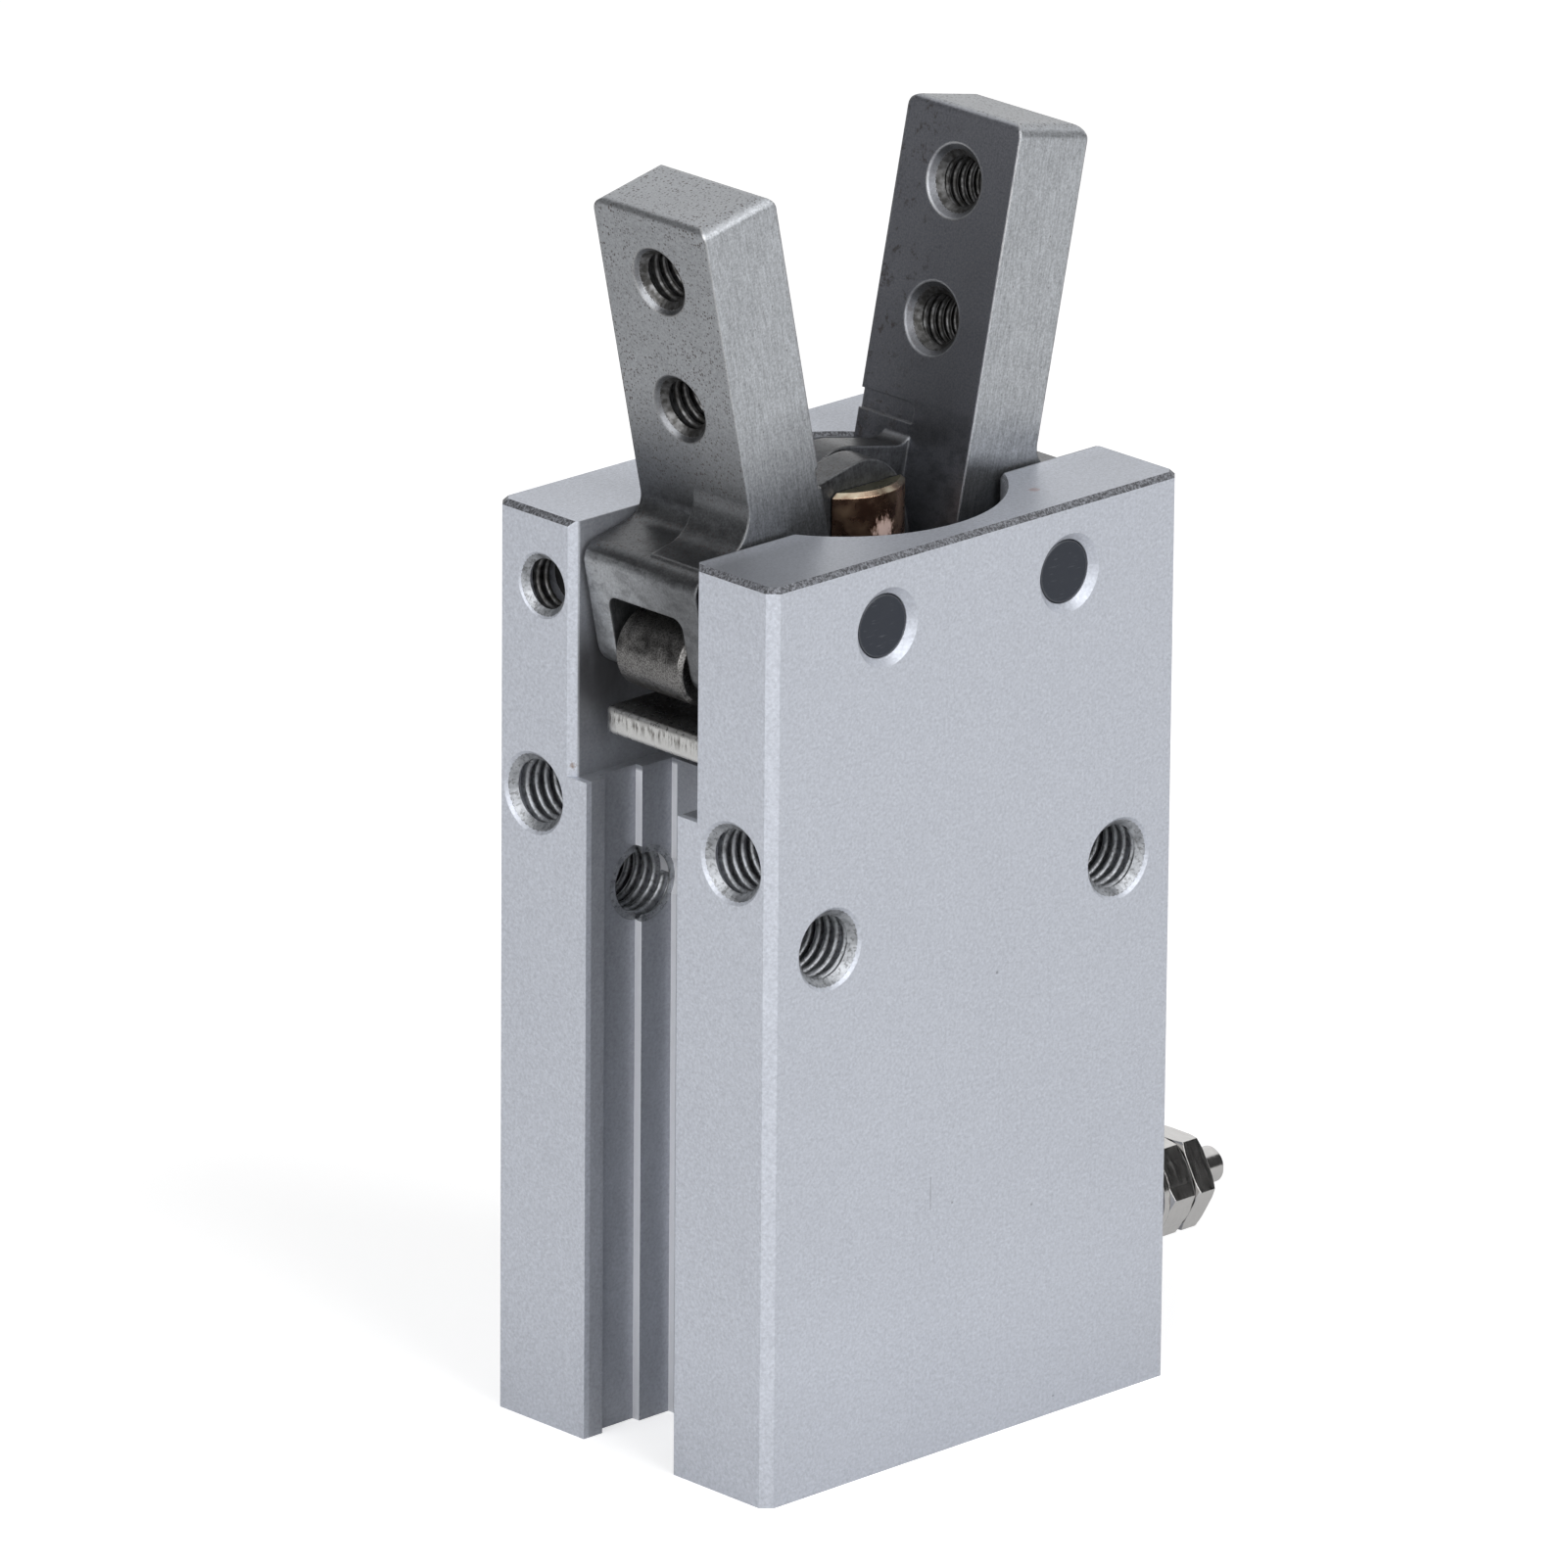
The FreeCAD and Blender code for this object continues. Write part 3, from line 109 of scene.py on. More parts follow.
def place_camera():
    back = Vector((math.sin(VIEW_YAW) * math.cos(VIEW_PITCH),
                   -math.cos(VIEW_YAW) * math.cos(VIEW_PITCH),
                   math.sin(VIEW_PITCH)))
    level_right = Vector((0, 0, 1)).cross(back).normalized()
    level_up = back.cross(level_right)
    right = level_right * math.cos(VIEW_ROLL) + level_up * math.sin(VIEW_ROLL)
    up = level_up * math.cos(VIEW_ROLL) - level_right * math.sin(VIEW_ROLL)
    data = bpy.data.cameras.new("camera")
    data.lens = VIEW_LENS
    data.sensor_width = 36
    data.clip_end = 20
    camera = bpy.data.objects.new("camera", data)
    bpy.context.scene.collection.objects.link(camera)
    place = Matrix((right, up, back)).transposed().to_4x4()
    place.translation = (VIEW_TARGET - right * VIEW_SHIFT_RIGHT - up * VIEW_SHIFT_UP
                         + back * VIEW_DISTANCE)
    camera.matrix_world = place
    bpy.context.scene.camera = camera


class Graph:
    """The node tree of a new material or of the world, built one node at a time."""

    def __init__(self, name, world=False):
        self.owner = (bpy.data.worlds if world else bpy.data.materials).new(name)
        self.owner.use_nodes = True
        self.tree = self.owner.node_tree
        self.tree.nodes.clear()

    def add(self, kind, sockets=None, **settings):
        node = self.tree.nodes.new("ShaderNode" + kind)
        for key, value in settings.items():
            setattr(node, key, value)
        for key, value in (sockets or {}).items():
            self.feed(node.inputs[key], value)
        return node

    def feed(self, socket, value):
        """Links a socket to another node's output, or sets its number or colour."""
        if isinstance(value, bpy.types.NodeSocket):
            self.tree.links.new(value, socket)
        else:
            socket.default_value = value

    def calc(self, operation, first, second=0.0, clamp=False):
        node = self.add("Math", {0: first, 1: second}, operation=operation, use_clamp=clamp)
        return node.outputs[0]

    def plus(self, first, second, clamp=False):
        return self.calc("ADD", first, second, clamp)

    def minus(self, first, second):
        return self.calc("SUBTRACT", first, second)

    def times(self, first, second, clamp=False):
        return self.calc("MULTIPLY", first, second, clamp)

    def highest(self, first, second):
        return self.calc("MAXIMUM", first, second)

    def absolute(self, value):
        return self.calc("ABSOLUTE", value)

    def ramp(self, value, low, high, start=0.0, end=1.0):
        """start where value is at or below low, end where it is at or above high."""
        node = self.add("MapRange", {"Value": value, "From Min": low, "From Max": high,
                                     "To Min": start, "To Max": end})
        return node.outputs["Result"]

    def blend(self, factor, first, second, mode="MIX"):
        """Mixes two colours; the Mix node has its colours on inputs 6 and 7, output 2."""
        node = self.add("Mix", data_type="RGBA", blend_type=mode)
        for index, value in ((0, factor), (6, first), (7, second)):
            self.feed(node.inputs[index], value)
        return node.outputs[2]

    def noise(self, vector, scale, detail=2.0, roughness=0.5):
        node = self.add("TexNoise", {"Vector": vector, "Scale": scale, "Detail": detail,
                                     "Roughness": roughness})
        return node.outputs["Fac"]

    def cells(self, vector, scale):
        """How far the nearest of many scattered points is, and that point's own colour."""
        node = self.add("TexVoronoi", {"Vector": vector, "Scale": scale})
        return node.outputs["Distance"], node.outputs["Color"]

    def stretch(self, vector, factors):
        node = self.add("VectorMath", {0: vector, 1: factors}, operation="MULTIPLY")
        return node.outputs[0]

    def apart(self, vector, spot):
        """How far a place is from a spot."""
        node = self.add("VectorMath", {0: vector, 1: spot}, operation="DISTANCE")
        return node.outputs["Value"]

    def position(self, turn=0.0, origin=(0, 0, 0)):
        """Object coordinates in millimetres, from an origin and turned about Y."""
        base = self.add("TexCoord").outputs["Object"]
        moved = self.add("VectorMath", {0: base, 1: origin}, operation="SUBTRACT").outputs[0]
        scaled = self.add("VectorMath", {0: moved, "Scale": 1 / MM}, operation="SCALE").outputs[0]
        node = self.add("VectorRotate", {"Vector": scaled, "Axis": (0, 1, 0), "Angle": turn})
        return node.outputs[0]

    def normal(self, turn=0.0):
        """The surface's own normal, turned about Y."""
        base = self.add("TexCoord").outputs["Normal"]
        node = self.add("VectorRotate", {"Vector": base, "Axis": (0, 1, 0), "Angle": turn})
        return node.outputs[0]

    def split(self, vector):
        return self.add("SeparateXYZ", {0: vector}).outputs

    def inside(self, value, edge, soft=0.05):
        """1 where a value lies within edge of zero, 0 beyond it."""
        return self.ramp(self.absolute(value), edge - soft, edge + soft, 1.0, 0.0)

    def radius(self, first, second):
        return self.calc("SQRT", self.plus(self.times(first, first), self.times(second, second)))

    def sloped(self, upward, level):
        """1 on chamfers, 0 on upright faces and on those that are nearly level."""
        tilt = self.absolute(upward)
        return self.times(self.ramp(tilt, 0.3, 0.5), self.ramp(tilt, level, 0.97, 1.0, 0.0))

    def edge_mask(self, rounded):
        """1 on edges that a rounded normal bends, 0 on flat ground."""
        true_normal = self.add("NewGeometry").outputs["Normal"]
        agreement = self.add("VectorMath", {0: rounded, 1: true_normal}, operation="DOT_PRODUCT")
        return self.ramp(agreement.outputs["Value"], 0.995, 0.93)

    def bump(self, height, strength, distance, normal):
        sockets = {"Height": height, "Strength": strength, "Distance": distance * MM,
                   "Normal": normal}
        return self.add("Bump", sockets).outputs[0]

    def rounded(self, radius):
        """A normal that rounds off edges by a small radius in millimetres."""
        return self.add("Bevel", {"Radius": radius * MM}, samples=4).outputs[0]

    def output(self, shader, kind="OutputMaterial"):
        """Ends the tree with a shader; returns the material or the world."""
        self.add(kind, {"Surface": shader.outputs[0]})
        return self.owner

    def surface(self, color, metal, rough, normal=None):
        """Ends the tree with a metal, plastic or rubber surface."""
        sockets = {"Base Color": color, "Metallic": metal, "Roughness": rough}
        if normal is not None:
            sockets["Normal"] = normal
        return self.output(self.add("BsdfPrincipled", sockets))


def blasted_tone(g, place, grain):
    """Grain and flakes of the blasted face, over very faint clouds."""
    cloud = g.noise(place, 0.08, 2.0)
    flake = g.split(g.cells(place, 6.0)[1])[0]
    tone = g.plus(g.ramp(grain, 0.3, 0.7, -0.24, 0.24), g.ramp(cloud, 0.3, 0.7, -0.02, 0.02))
    tone = g.plus(tone, g.ramp(flake, 0.0, 1.0, -0.09, 0.09))
    return g.blend(g.plus(tone, 0.5, clamp=True), (0.36, 0.377, 0.425, 1),
                   (0.655, 0.686, 0.752, 1))


def shaded_hollows(g, base, place, faces, axes):
    """Painted shade darkens the slot, the channels and the well, in blotches, most of all near
    the rollers; painted light keeps the step and the far edge of each channel's floor light."""
    slot = g.times(g.inside(axes[1], SLOT_HALF), g.inside(axes[0], CHANNEL_FACE))
    sideways = g.ramp(g.absolute(faces[0]), 0.8, 0.9)
    step = g.times(sideways, g.inside(g.minus(g.absolute(axes[0]), STEP_FACE), 0.3))
    edge = g.times(sideways, g.ramp(axes[1], FLOOR_EDGE, FLOOR_EDGE + 0.1))
    below = g.ramp(axes[2], SLOT_LEDGE - 1, SLOT_LEDGE - 0.8, 1.0, 0.0)
    # Painted light on the step and on the far edge of each channel's floor.
    light = g.times(g.times(g.highest(step, edge), below), slot)
    base = g.blend(g.times(light, 0.9), base, (0.95, 0.96, 1.0, 1))
    well = g.times(g.ramp(g.radius(axes[0], axes[1]), WELL_RADIUS, WELL_RADIUS + 0.1, 1.0, 0.0),
                   g.ramp(axes[2], BLOCK_HEIGHT - 0.3, BLOCK_HEIGHT - 0.2, 1.0, 0.0))
    # Painted shade, deeper higher up the slot and near the rollers, with blotches.
    shade_blotches = g.ramp(g.noise(g.stretch(place, (1.0, 1.0, 0.25)), 0.8, 3.0), 0.35, 0.7, -0.04, 0.05)
    depth = g.plus(g.ramp(axes[2], 15.0, SLOT_LEDGE, 0.28, 0.5),
                   g.ramp(g.apart(place, ROLLER_SHADOW), 1.5, 5.0, 0.4, 0.0))
    painted_shade = g.times(g.highest(g.minus(slot, light), well), g.plus(shade_blotches, depth), clamp=True)
    return g.blend(painted_shade, base, (0.06, 0.06, 0.064, 1))


def grained_rim(g, base, place, faces, axes):
    """Chamfered rim of the top face: dark, coarse grains."""
    rim = g.times(g.sloped(faces[2], 0.85),
                  g.ramp(axes[2], BLOCK_HEIGHT - 0.5, BLOCK_HEIGHT - 0.45))
    milled = g.stretch(place, (1.0, 1.0, 0.35))
    coarse = g.ramp(g.noise(milled, 6.5, 2.0, 0.7), 0.42, 0.62, 0.95, 0.55)
    return g.blend(g.times(rim, coarse), base, (0.05, 0.05, 0.055, 1))


def body_marks(g, base, place, faces, axes, grain):
    """Scratches and specks on the front face, then the round marks with ragged edges."""
    ahead = g.ramp(faces[1], -0.8, -0.9)
    for x, z, half_width, half_height in FRONT_MARKS:
        mark = g.times(g.inside(g.minus(axes[0], x), half_width, 0.04),
                       g.inside(g.minus(axes[2], z), half_height, 0.04))
        base = g.blend(g.times(g.times(mark, ahead), 0.55), base, (0.12, 0.12, 0.13, 1))
    for spot, radius, color in ROUND_MARKS:
        ragged = g.plus(g.apart(place, spot),
                        g.ramp(grain, 0.3, 0.7, -0.3 * radius, 0.3 * radius))
        base = g.blend(g.ramp(ragged, radius * 0.5, radius, 0.8, 0.0), base, color)
    return base


def top_speckle_and_painted_reflection(g, base, place, axes, top):
    """Speckles on the top face, and a painted dark reflection along its front flange."""
    speckle = g.ramp(g.noise(place, 8.0, 2.0, 0.7), 0.5, 0.62, 0.0, 0.23)
    base = g.blend(g.times(top, speckle), base, (0.2, 0.206, 0.232, 1))
    # Painted dark reflection on the front flange's top, strongest at its left corner.
    flange = g.times(top, g.ramp(axes[1], -5.0, -7.0))
    painted_reflection = g.plus(g.ramp(axes[0], -16.5, 1.5, 0.52, 0.0), g.ramp(axes[0], 0.0, 6.0, 0.0, 0.16))
    return g.blend(g.times(flange, painted_reflection), base, (0.1, 0.102, 0.11, 1))


def anodised_aluminium():
    """Blasted, anodised aluminium: fine grain, painted shade in slot and well, coarse on the rim."""
    g = Graph("anodised_aluminium")
    place = g.position()
    faces = g.split(g.normal())
    axes = g.split(place)
    grain = g.noise(place, 5.0, 3.0, 0.65)
    base = blasted_tone(g, place, grain)
    base = shaded_hollows(g, base, place, faces, axes)
    base = grained_rim(g, base, place, faces, axes)
    foot = g.ramp(axes[2], 0.0, FOOT_SHADE, 0.13, 0.0)
    base = g.blend(foot, base, (0.1, 0.1, 0.11, 1))
    base = body_marks(g, base, place, faces, axes, grain)
    top = g.times(g.ramp(faces[2], 0.9, 0.98),
                  g.ramp(axes[2], BLOCK_HEIGHT - 0.8, BLOCK_HEIGHT - 0.5))
    base = top_speckle_and_painted_reflection(g, base, place, axes, top)
    rough = g.minus(g.ramp(grain, 0.2, 0.8, 0.4, 0.52), g.times(top, 0.06))
    normal = g.bump(g.noise(place, 14.0, 2.0, 0.7), 0.2, 0.015, g.rounded(0.06))
    return g.surface(color=base, metal=0.5, rough=rough, normal=normal)


def thread_aluminium():
    """Bare cut aluminium of the tapped holes, a little oily."""
    g = Graph("thread_aluminium")
    place = g.position()
    cloud = g.noise(place, 1.5, 3.0)
    base = g.blend(g.ramp(cloud, 0.35, 0.65), (0.24, 0.25, 0.265, 1), (0.42, 0.435, 0.46, 1))
    crumbs = g.noise(place, 4.0, 2.0, 0.7)
    base = g.blend(g.ramp(crumbs, 0.52, 0.64, 0.0, 0.6), base, GRIME)
    rough = g.ramp(cloud, 0.3, 0.7, 0.36, 0.5)
    normal = g.bump(crumbs, 0.35, 0.04, g.rounded(0.05))
    return g.surface(color=base, metal=0.8, rough=rough, normal=normal)


def thread_steel():
    """Dark, dirty steel of the threads in the fingers and above the lock screws."""
    g = Graph("thread_steel")
    cloud = g.noise(g.position(), 2.2, 3.0)
    base = g.blend(g.ramp(cloud, 0.4, 0.72), (0.045, 0.044, 0.042, 1), (0.16, 0.16, 0.163, 1))
    rough = g.ramp(cloud, 0.3, 0.7, 0.45, 0.32)
    normal = g.bump(cloud, 0.3, 0.03, g.rounded(0.05))
    return g.surface(color=base, metal=0.8, rough=rough, normal=normal)


def lever_zones(g, faces, axes, sign):
    """Where a lever's faces and stretches are, each from 0 to 1."""
    outward = g.times(faces[0], sign)
    flank = g.ramp(g.absolute(faces[1]), 0.7, 0.95)
    return {
        "flank": flank,
        "face": g.minus(1.0, flank),
        "outer": g.ramp(outward, 0.5, 0.9),
        "inner": g.ramp(outward, -0.5, -0.9),
        "top": g.ramp(faces[2], 0.6, 0.9),
        "blade": g.ramp(axes[2], 6.5, 8.5),
        "arm": g.times(g.ramp(g.times(axes[0], sign), -3.1, -2.7, 1.0, 0.0),
                       g.ramp(axes[2], 8.0, 8.4, 1.0, 0.0)),
    }


def lever_tone(g, zones, streaks, fine, cloud):
    """Fine lengthwise brushing on the flanks, faint clouds elsewhere."""
    tone = g.plus(g.times(zones["flank"], g.ramp(streaks, 0.3, 0.7, -0.22, 0.36)),
                  g.ramp(fine, 0.3, 0.7, -0.3, 0.3))
    tone = g.plus(tone, g.ramp(cloud, 0.3, 0.7, -0.05, 0.05))
    base = g.blend(g.plus(tone, 0.54, clamp=True), (0.24, 0.248, 0.262, 1),
                   (0.62, 0.645, 0.68, 1))
    base = g.blend(g.times(zones["outer"], 0.3), base, GRIME)
    base = g.blend(g.times(zones["top"], 0.36), base, GRIME)
    return g.blend(g.times(zones["inner"], 0.56), base, (0.1, 0.1, 0.135, 1))


def lever_shade_and_soil(g, base, axes, zones, smear, side):
    """Painted shade and oil, from the blade's foot down over the knuckle and the arm, with smears."""
    # Painted shade with oil: darker towards the blade's foot, on the knuckle and on the arm.
    flank_shade_and_soil = g.ramp(axes[2], 5.0, FLANK_SHADE_AND_SOIL_TOP[side], 0.36, 1.0)
    face_shade_and_soil = g.ramp(axes[2], 5.5, 14.5, 0.34, 1.0)
    shade_and_soil = g.plus(g.times(zones["flank"], flank_shade_and_soil), g.times(zones["face"], face_shade_and_soil))
    shade_and_soil = g.highest(shade_and_soil, g.times(zones["inner"], 0.92))
    knuckle = g.times(g.ramp(axes[2], 4.6, 4.9, 1.0, 0.0), zones["outer"])
    shade_and_soil = g.highest(shade_and_soil, g.times(knuckle, g.ramp(axes[1], -2.5, 2.5, 0.5, 1.15)))
    shade_and_soil = g.times(shade_and_soil, g.ramp(zones["arm"], 0.0, 1.0, 1.0, 0.85))
    base = g.blend(1.0, base, shade_and_soil, "MULTIPLY")
    lower = g.times(g.ramp(axes[2], 6.0, 8.0, 1.0, 0.0), zones["face"])
    smeared = g.times(g.highest(lower, zones["arm"]), g.ramp(smear, 0.45, 0.62, 0.0, 0.34))
    return g.blend(smeared, base, (0.03, 0.03, 0.032, 1))


def lever_countersinks(g, base, axes):
    """Countersinks of the jaw holes, duller than the faces."""
    for level in HOLE_LEVELS:
        apart = g.radius(axes[1], g.minus(axes[2], level))
        ring = g.ramp(apart, COUNTERSINK_RADIUS, COUNTERSINK_RADIUS + 0.06, 0.55, 0.0)
        base = g.blend(ring, base, (0.05, 0.05, 0.055, 1))
    return base


def lever_pits(g, place, zones, cloud):
    """1 in the pits of the blade's outer and top faces; fainter specks on the flanks."""
    pits, pit_color = g.cells(place, 5.2)
    pit_size = g.ramp(g.split(pit_color)[1], 0.05, 1.0, 0.02, 0.46)
    pitted = g.highest(g.times(zones["outer"], zones["blade"]), zones["top"])
    pit = g.times(g.calc("LESS_THAN", pits, pit_size), pitted)
    specks = g.calc("LESS_THAN", g.cells(place, 1.1)[0], 0.07)
    pit = g.highest(pit, g.times(specks, g.times(zones["flank"], 0.6)))
    return g.times(pit, g.ramp(cloud, 0.35, 0.65, 0.4, 0.8))


def lever_steel(side):
    """Ground steel: brushed flanks, pitted outer and top faces, knuckle and arm dark with oil
    and painted shade.
    """
    g = Graph("lever_steel_" + side)
    sign = float(SIDES[side])
    turn = -OPEN_ANGLE * sign
    place = g.position(turn, pivots[side])
    axes = g.split(place)
    zones = lever_zones(g, g.split(g.normal(turn)), axes, sign)
    streaks = g.noise(g.stretch(place, (9.0, 9.0, 0.9)), 1.0, 3.0, 0.75)
    fine = g.noise(place, 7.0, 3.0, 0.65)
    cloud = g.noise(place, 0.35, 3.0)
    smear = g.noise(g.stretch(place, (1.0, 0.6, 1.0)), 1.3, 4.0, 0.65)
    base = lever_tone(g, zones, streaks, fine, cloud)
    base = lever_shade_and_soil(g, base, axes, zones, smear, side)
    base = lever_countersinks(g, base, axes)
    pit = lever_pits(g, place, zones, cloud)
    base = g.blend(pit, base, (0.075, 0.058, 0.054, 1))

    # Rust on the inner face, near its far edge.
    rust = g.times(g.ramp(g.noise(place, 1.6, 4.0, 0.7), 0.56, 0.66), zones["inner"])
    rust = g.times(rust, g.ramp(axes[1], -1.0, 3.0))
    base = g.blend(g.times(rust, 0.5), base, (0.07, 0.042, 0.03, 1))

    # Edges rubbed bright, with a painted highlight that fades towards the blade's foot.
    rounded = g.rounded(0.22)
    bright = g.times(g.edge_mask(rounded), g.ramp(axes[2], 8.0, 20.0, 0.12, 0.75))
    bright = g.times(bright, g.ramp(smear, 0.35, 0.6, 0.35, 1.0))
    base = g.blend(bright, base, (0.62, 0.62, 0.62, 1))
    rough = g.plus(g.ramp(fine, 0.2, 0.8, 0.28, 0.42), g.times(pit, 0.2))
    normal = g.bump(streaks, g.times(zones["flank"], 0.2), 0.008, rounded)
    normal = g.bump(fine, 0.12, 0.012, normal)
    return g.surface(color=base, metal=0.9, rough=rough, normal=normal)


def dark_steel():
    """Blued steel of the pins, the lower piston and the retaining ring, faintly scratched."""
    g = Graph("dark_steel")
    place = g.position()
    scratch = g.noise(g.stretch(place, (1.2, 8.0, 9.0)), 1.0, 3.0)
    wear = g.noise(place, 1.2, 3.0)
    base = g.blend(g.ramp(scratch, 0.62, 0.74), (0.036, 0.041, 0.053, 1), (0.08, 0.085, 0.1, 1))
    rounded = g.rounded(0.16)
    base = g.blend(g.times(g.edge_mask(rounded), 0.8), base, (0.15, 0.155, 0.165, 1))
    rough = g.ramp(wear, 0.3, 0.7, 0.32, 0.5)
    return g.surface(color=base, metal=0.6, rough=rough, normal=rounded)


def roller_steel():
    """Hardened roller steel, oily, with fine dark specks."""
    g = Graph("roller_steel")
    place = g.position()
    specks = g.cells(place, 6.0)[0]
    cloud = g.noise(place, 1.2, 3.0)
    grain = g.noise(place, 9.0, 2.0, 0.75)
    base = g.blend(g.ramp(cloud, 0.3, 0.7), (0.2, 0.197, 0.194, 1), (0.28, 0.274, 0.268, 1))
    base = g.blend(g.ramp(grain, 0.46, 0.58, 0.0, 0.7), base, (0.045, 0.042, 0.04, 1))
    base = g.blend(g.calc("LESS_THAN", specks, 0.14), base, (0.04, 0.036, 0.034, 1))
    rough = g.ramp(cloud, 0.3, 0.7, 0.26, 0.4)
    return g.surface(color=base, metal=0.95, rough=rough, normal=g.rounded(0.12))


def nickel_plate():
    """Nickel plating, its top face darker away from its ends, with marks on its ends and a painted
    highlight on its rounded edges.
    """
    g = Graph("nickel_plate")
    place = g.position()
    faces = g.split(g.normal())
    axes = g.split(place)
    marks = g.noise(g.stretch(place, (2.2, 3.4, 0.9)), 1.0, 4.0, 0.6)
    middle = g.inside(g.minus(axes[2], PLATE_MIDDLE), 0.35, 0.3)
    stroke = g.times(g.ramp(marks, 0.48, 0.6), middle)
    base = g.blend(stroke, (0.7, 0.7, 0.69, 1), (0.22, 0.21, 0.2, 1))
    reach = g.ramp(g.absolute(axes[0]), 13.6, 15.6, 0.95, 0.2)
    above = g.times(g.ramp(faces[2], 0.7, 0.95), reach)
    base = g.blend(above, base, (0.09, 0.08, 0.072, 1))
    rounded = g.rounded(0.35)
    # Painted highlight along the rounded edges.
    base = g.blend(g.times(g.edge_mask(rounded), 0.7), base, (0.8, 0.79, 0.77, 1))
    rough = g.ramp(marks, 0.3, 0.7, 0.22, 0.4)
    normal = g.bump(marks, 0.25, 0.02, rounded)
    return g.surface(color=base, metal=1.0, rough=rough, normal=normal)


def tinted_brass():
    """Brown of the centre pusher, a painted highlight on its chamfered rim, with a dab of grease."""
    g = Graph("tinted_brass")
    place = g.position()
    faces = g.split(g.normal())
    cloud = g.noise(place, 0.9, 3.0)
    base = g.blend(g.ramp(cloud, 0.35, 0.65), (0.27, 0.15, 0.105, 1), (0.4, 0.27, 0.18, 1))
    base = g.blend(g.ramp(faces[2], 0.9, 0.98), base, (0.26, 0.24, 0.16, 1))
    # Painted highlight on the chamfered rim.
    rim = g.times(g.sloped(faces[2], 0.9), g.ramp(cloud, 0.4, 0.6, 0.3, 0.9))
    base = g.blend(rim, base, (0.52, 0.47, 0.36, 1))
    fibres = g.noise(g.stretch(place, (5.0, 5.0, 2.0)), 1.0, 4.0, 0.7)
    ragged = g.plus(g.apart(place, GREASE_PLACE), g.ramp(fibres, 0.3, 0.7, -0.5, 0.5))
    dab = g.ramp(ragged, 0.45, 0.95, 1.0, 0.0)
    base = g.blend(g.times(dab, 0.85), base, (0.62, 0.47, 0.43, 1))
    rough = g.plus(g.ramp(cloud, 0.3, 0.7, 0.22, 0.36), g.times(dab, 0.3))
    return g.surface(color=base, metal=g.minus(1.0, dab), rough=rough, normal=g.rounded(0.08))


def bright_nickel():
    """Bright nickel of the hose nipple."""
    g = Graph("bright_nickel")
    ground = g.noise(g.stretch(g.position(), (8.0, 1.0, 1.0)), 1.0, 2.0)
    base = g.blend(ground, (0.52, 0.51, 0.5, 1), (0.66, 0.65, 0.64, 1))
    rough = g.ramp(ground, 0.3, 0.7, 0.14, 0.22)
    return g.surface(color=base, metal=1.0, rough=rough, normal=g.rounded(0.06))


def machined_aluminium():
    """Turned aluminium of the upper piston and the end cap."""
    g = Graph("machined_aluminium")
    place = g.position()
    axes = g.split(place)
    rings = g.calc("SINE", g.times(g.radius(axes[0], axes[1]), TURNING_RINGS))
    base = g.blend(g.noise(place, 0.7), (0.55, 0.56, 0.58, 1), (0.68, 0.69, 0.71, 1))
    normal = g.bump(rings, 0.08, 0.01, g.rounded(0.06))
    return g.surface(color=base, metal=1.0, rough=0.3, normal=normal)


def black_oxide():
    """Black oxide of the set screws."""
    g = Graph("black_oxide")
    cloud = g.noise(g.position(), 3.0, 3.0)
    base = g.blend(cloud, (0.015, 0.015, 0.016, 1), (0.05, 0.05, 0.052, 1))
    rough = g.ramp(cloud, 0.3, 0.7, 0.35, 0.5)
    return g.surface(color=base, metal=0.7, rough=rough, normal=g.rounded(0.06))


def seal_rubber():
    """Black rubber of the seals and the bumpers."""
    g = Graph("seal_rubber")
    cloud = g.noise(g.position(), 2.0, 2.0)
    base = g.blend(cloud, (0.012, 0.012, 0.013, 1), (0.03, 0.03, 0.03, 1))
    rough = g.ramp(cloud, 0.3, 0.7, 0.5, 0.7)
    return g.surface(color=base, metal=0.0, rough=rough)


def magnet_grey():
    """Dark grey of the magnet ring."""
    g = Graph("magnet_grey")
    cloud = g.noise(g.position(), 4.0, 3.0)
    base = g.blend(cloud, (0.05, 0.05, 0.052, 1), (0.11, 0.11, 0.112, 1))
    return g.surface(color=base, metal=0.4, rough=0.6)


def dress_nodes():
    """Gives every CAD node its finish."""
    finishes = {
        "anodised": anodised_aluminium(),
        "pin_steel": dark_steel(),
        "bearing_steel": roller_steel(),
        "holder_nickel": nickel_plate(),
        "pusher_brass": tinted_brass(),
        "piston_aluminium": machined_aluminium(),
        "fitting_nickel": bright_nickel(),
        "screw_steel": black_oxide(),
        "seal": seal_rubber(),
        "magnet": magnet_grey(),
    }
    for side in SIDES:
        finishes["lever_steel_" + side] = lever_steel(side)
    slots = {part["node"]: part["material_slot"] for part in frame["record"]["subparts"]}
    for name, node in nodes.items():
        slot = slots[name]
        if slot == "lever_steel":
            slot = "lever_steel_" + name.split("_")[-1]
        if name == "nipple_gasket":
            slot = "fitting_nickel"
        node.data.materials.clear()
        node.data.materials.append(finishes[slot])


# Threads: radius and pitch in millimetres.
M5, M4 = (2.5, 0.8), (2.0, 0.7)
THREAD_STEPS = 40
# Shares of the pitch: a ridge's height, half its foot, half its crest, the clear run at an end.
THREAD_DEPTH = 0.54
RIDGE_FOOT = 0.46
RIDGE_CREST = 0.12
RUN_OUT = 0.3
# Millimetres: how far the meshes sit in the walls, the countersinks, the threads' lengths.
SEAT = 0.03
MOUNT_CHAMFER = 0.22
LOCK_CHAMFER = 0.15
JAW_CHAMFER = 0.3
JAW_INNER_CHAMFER = 0.42
SIDE_THREAD = 7.8
PORT_THREAD = 5.8
BASE_THREAD = 6.3
LOCK_GAP = 0.1
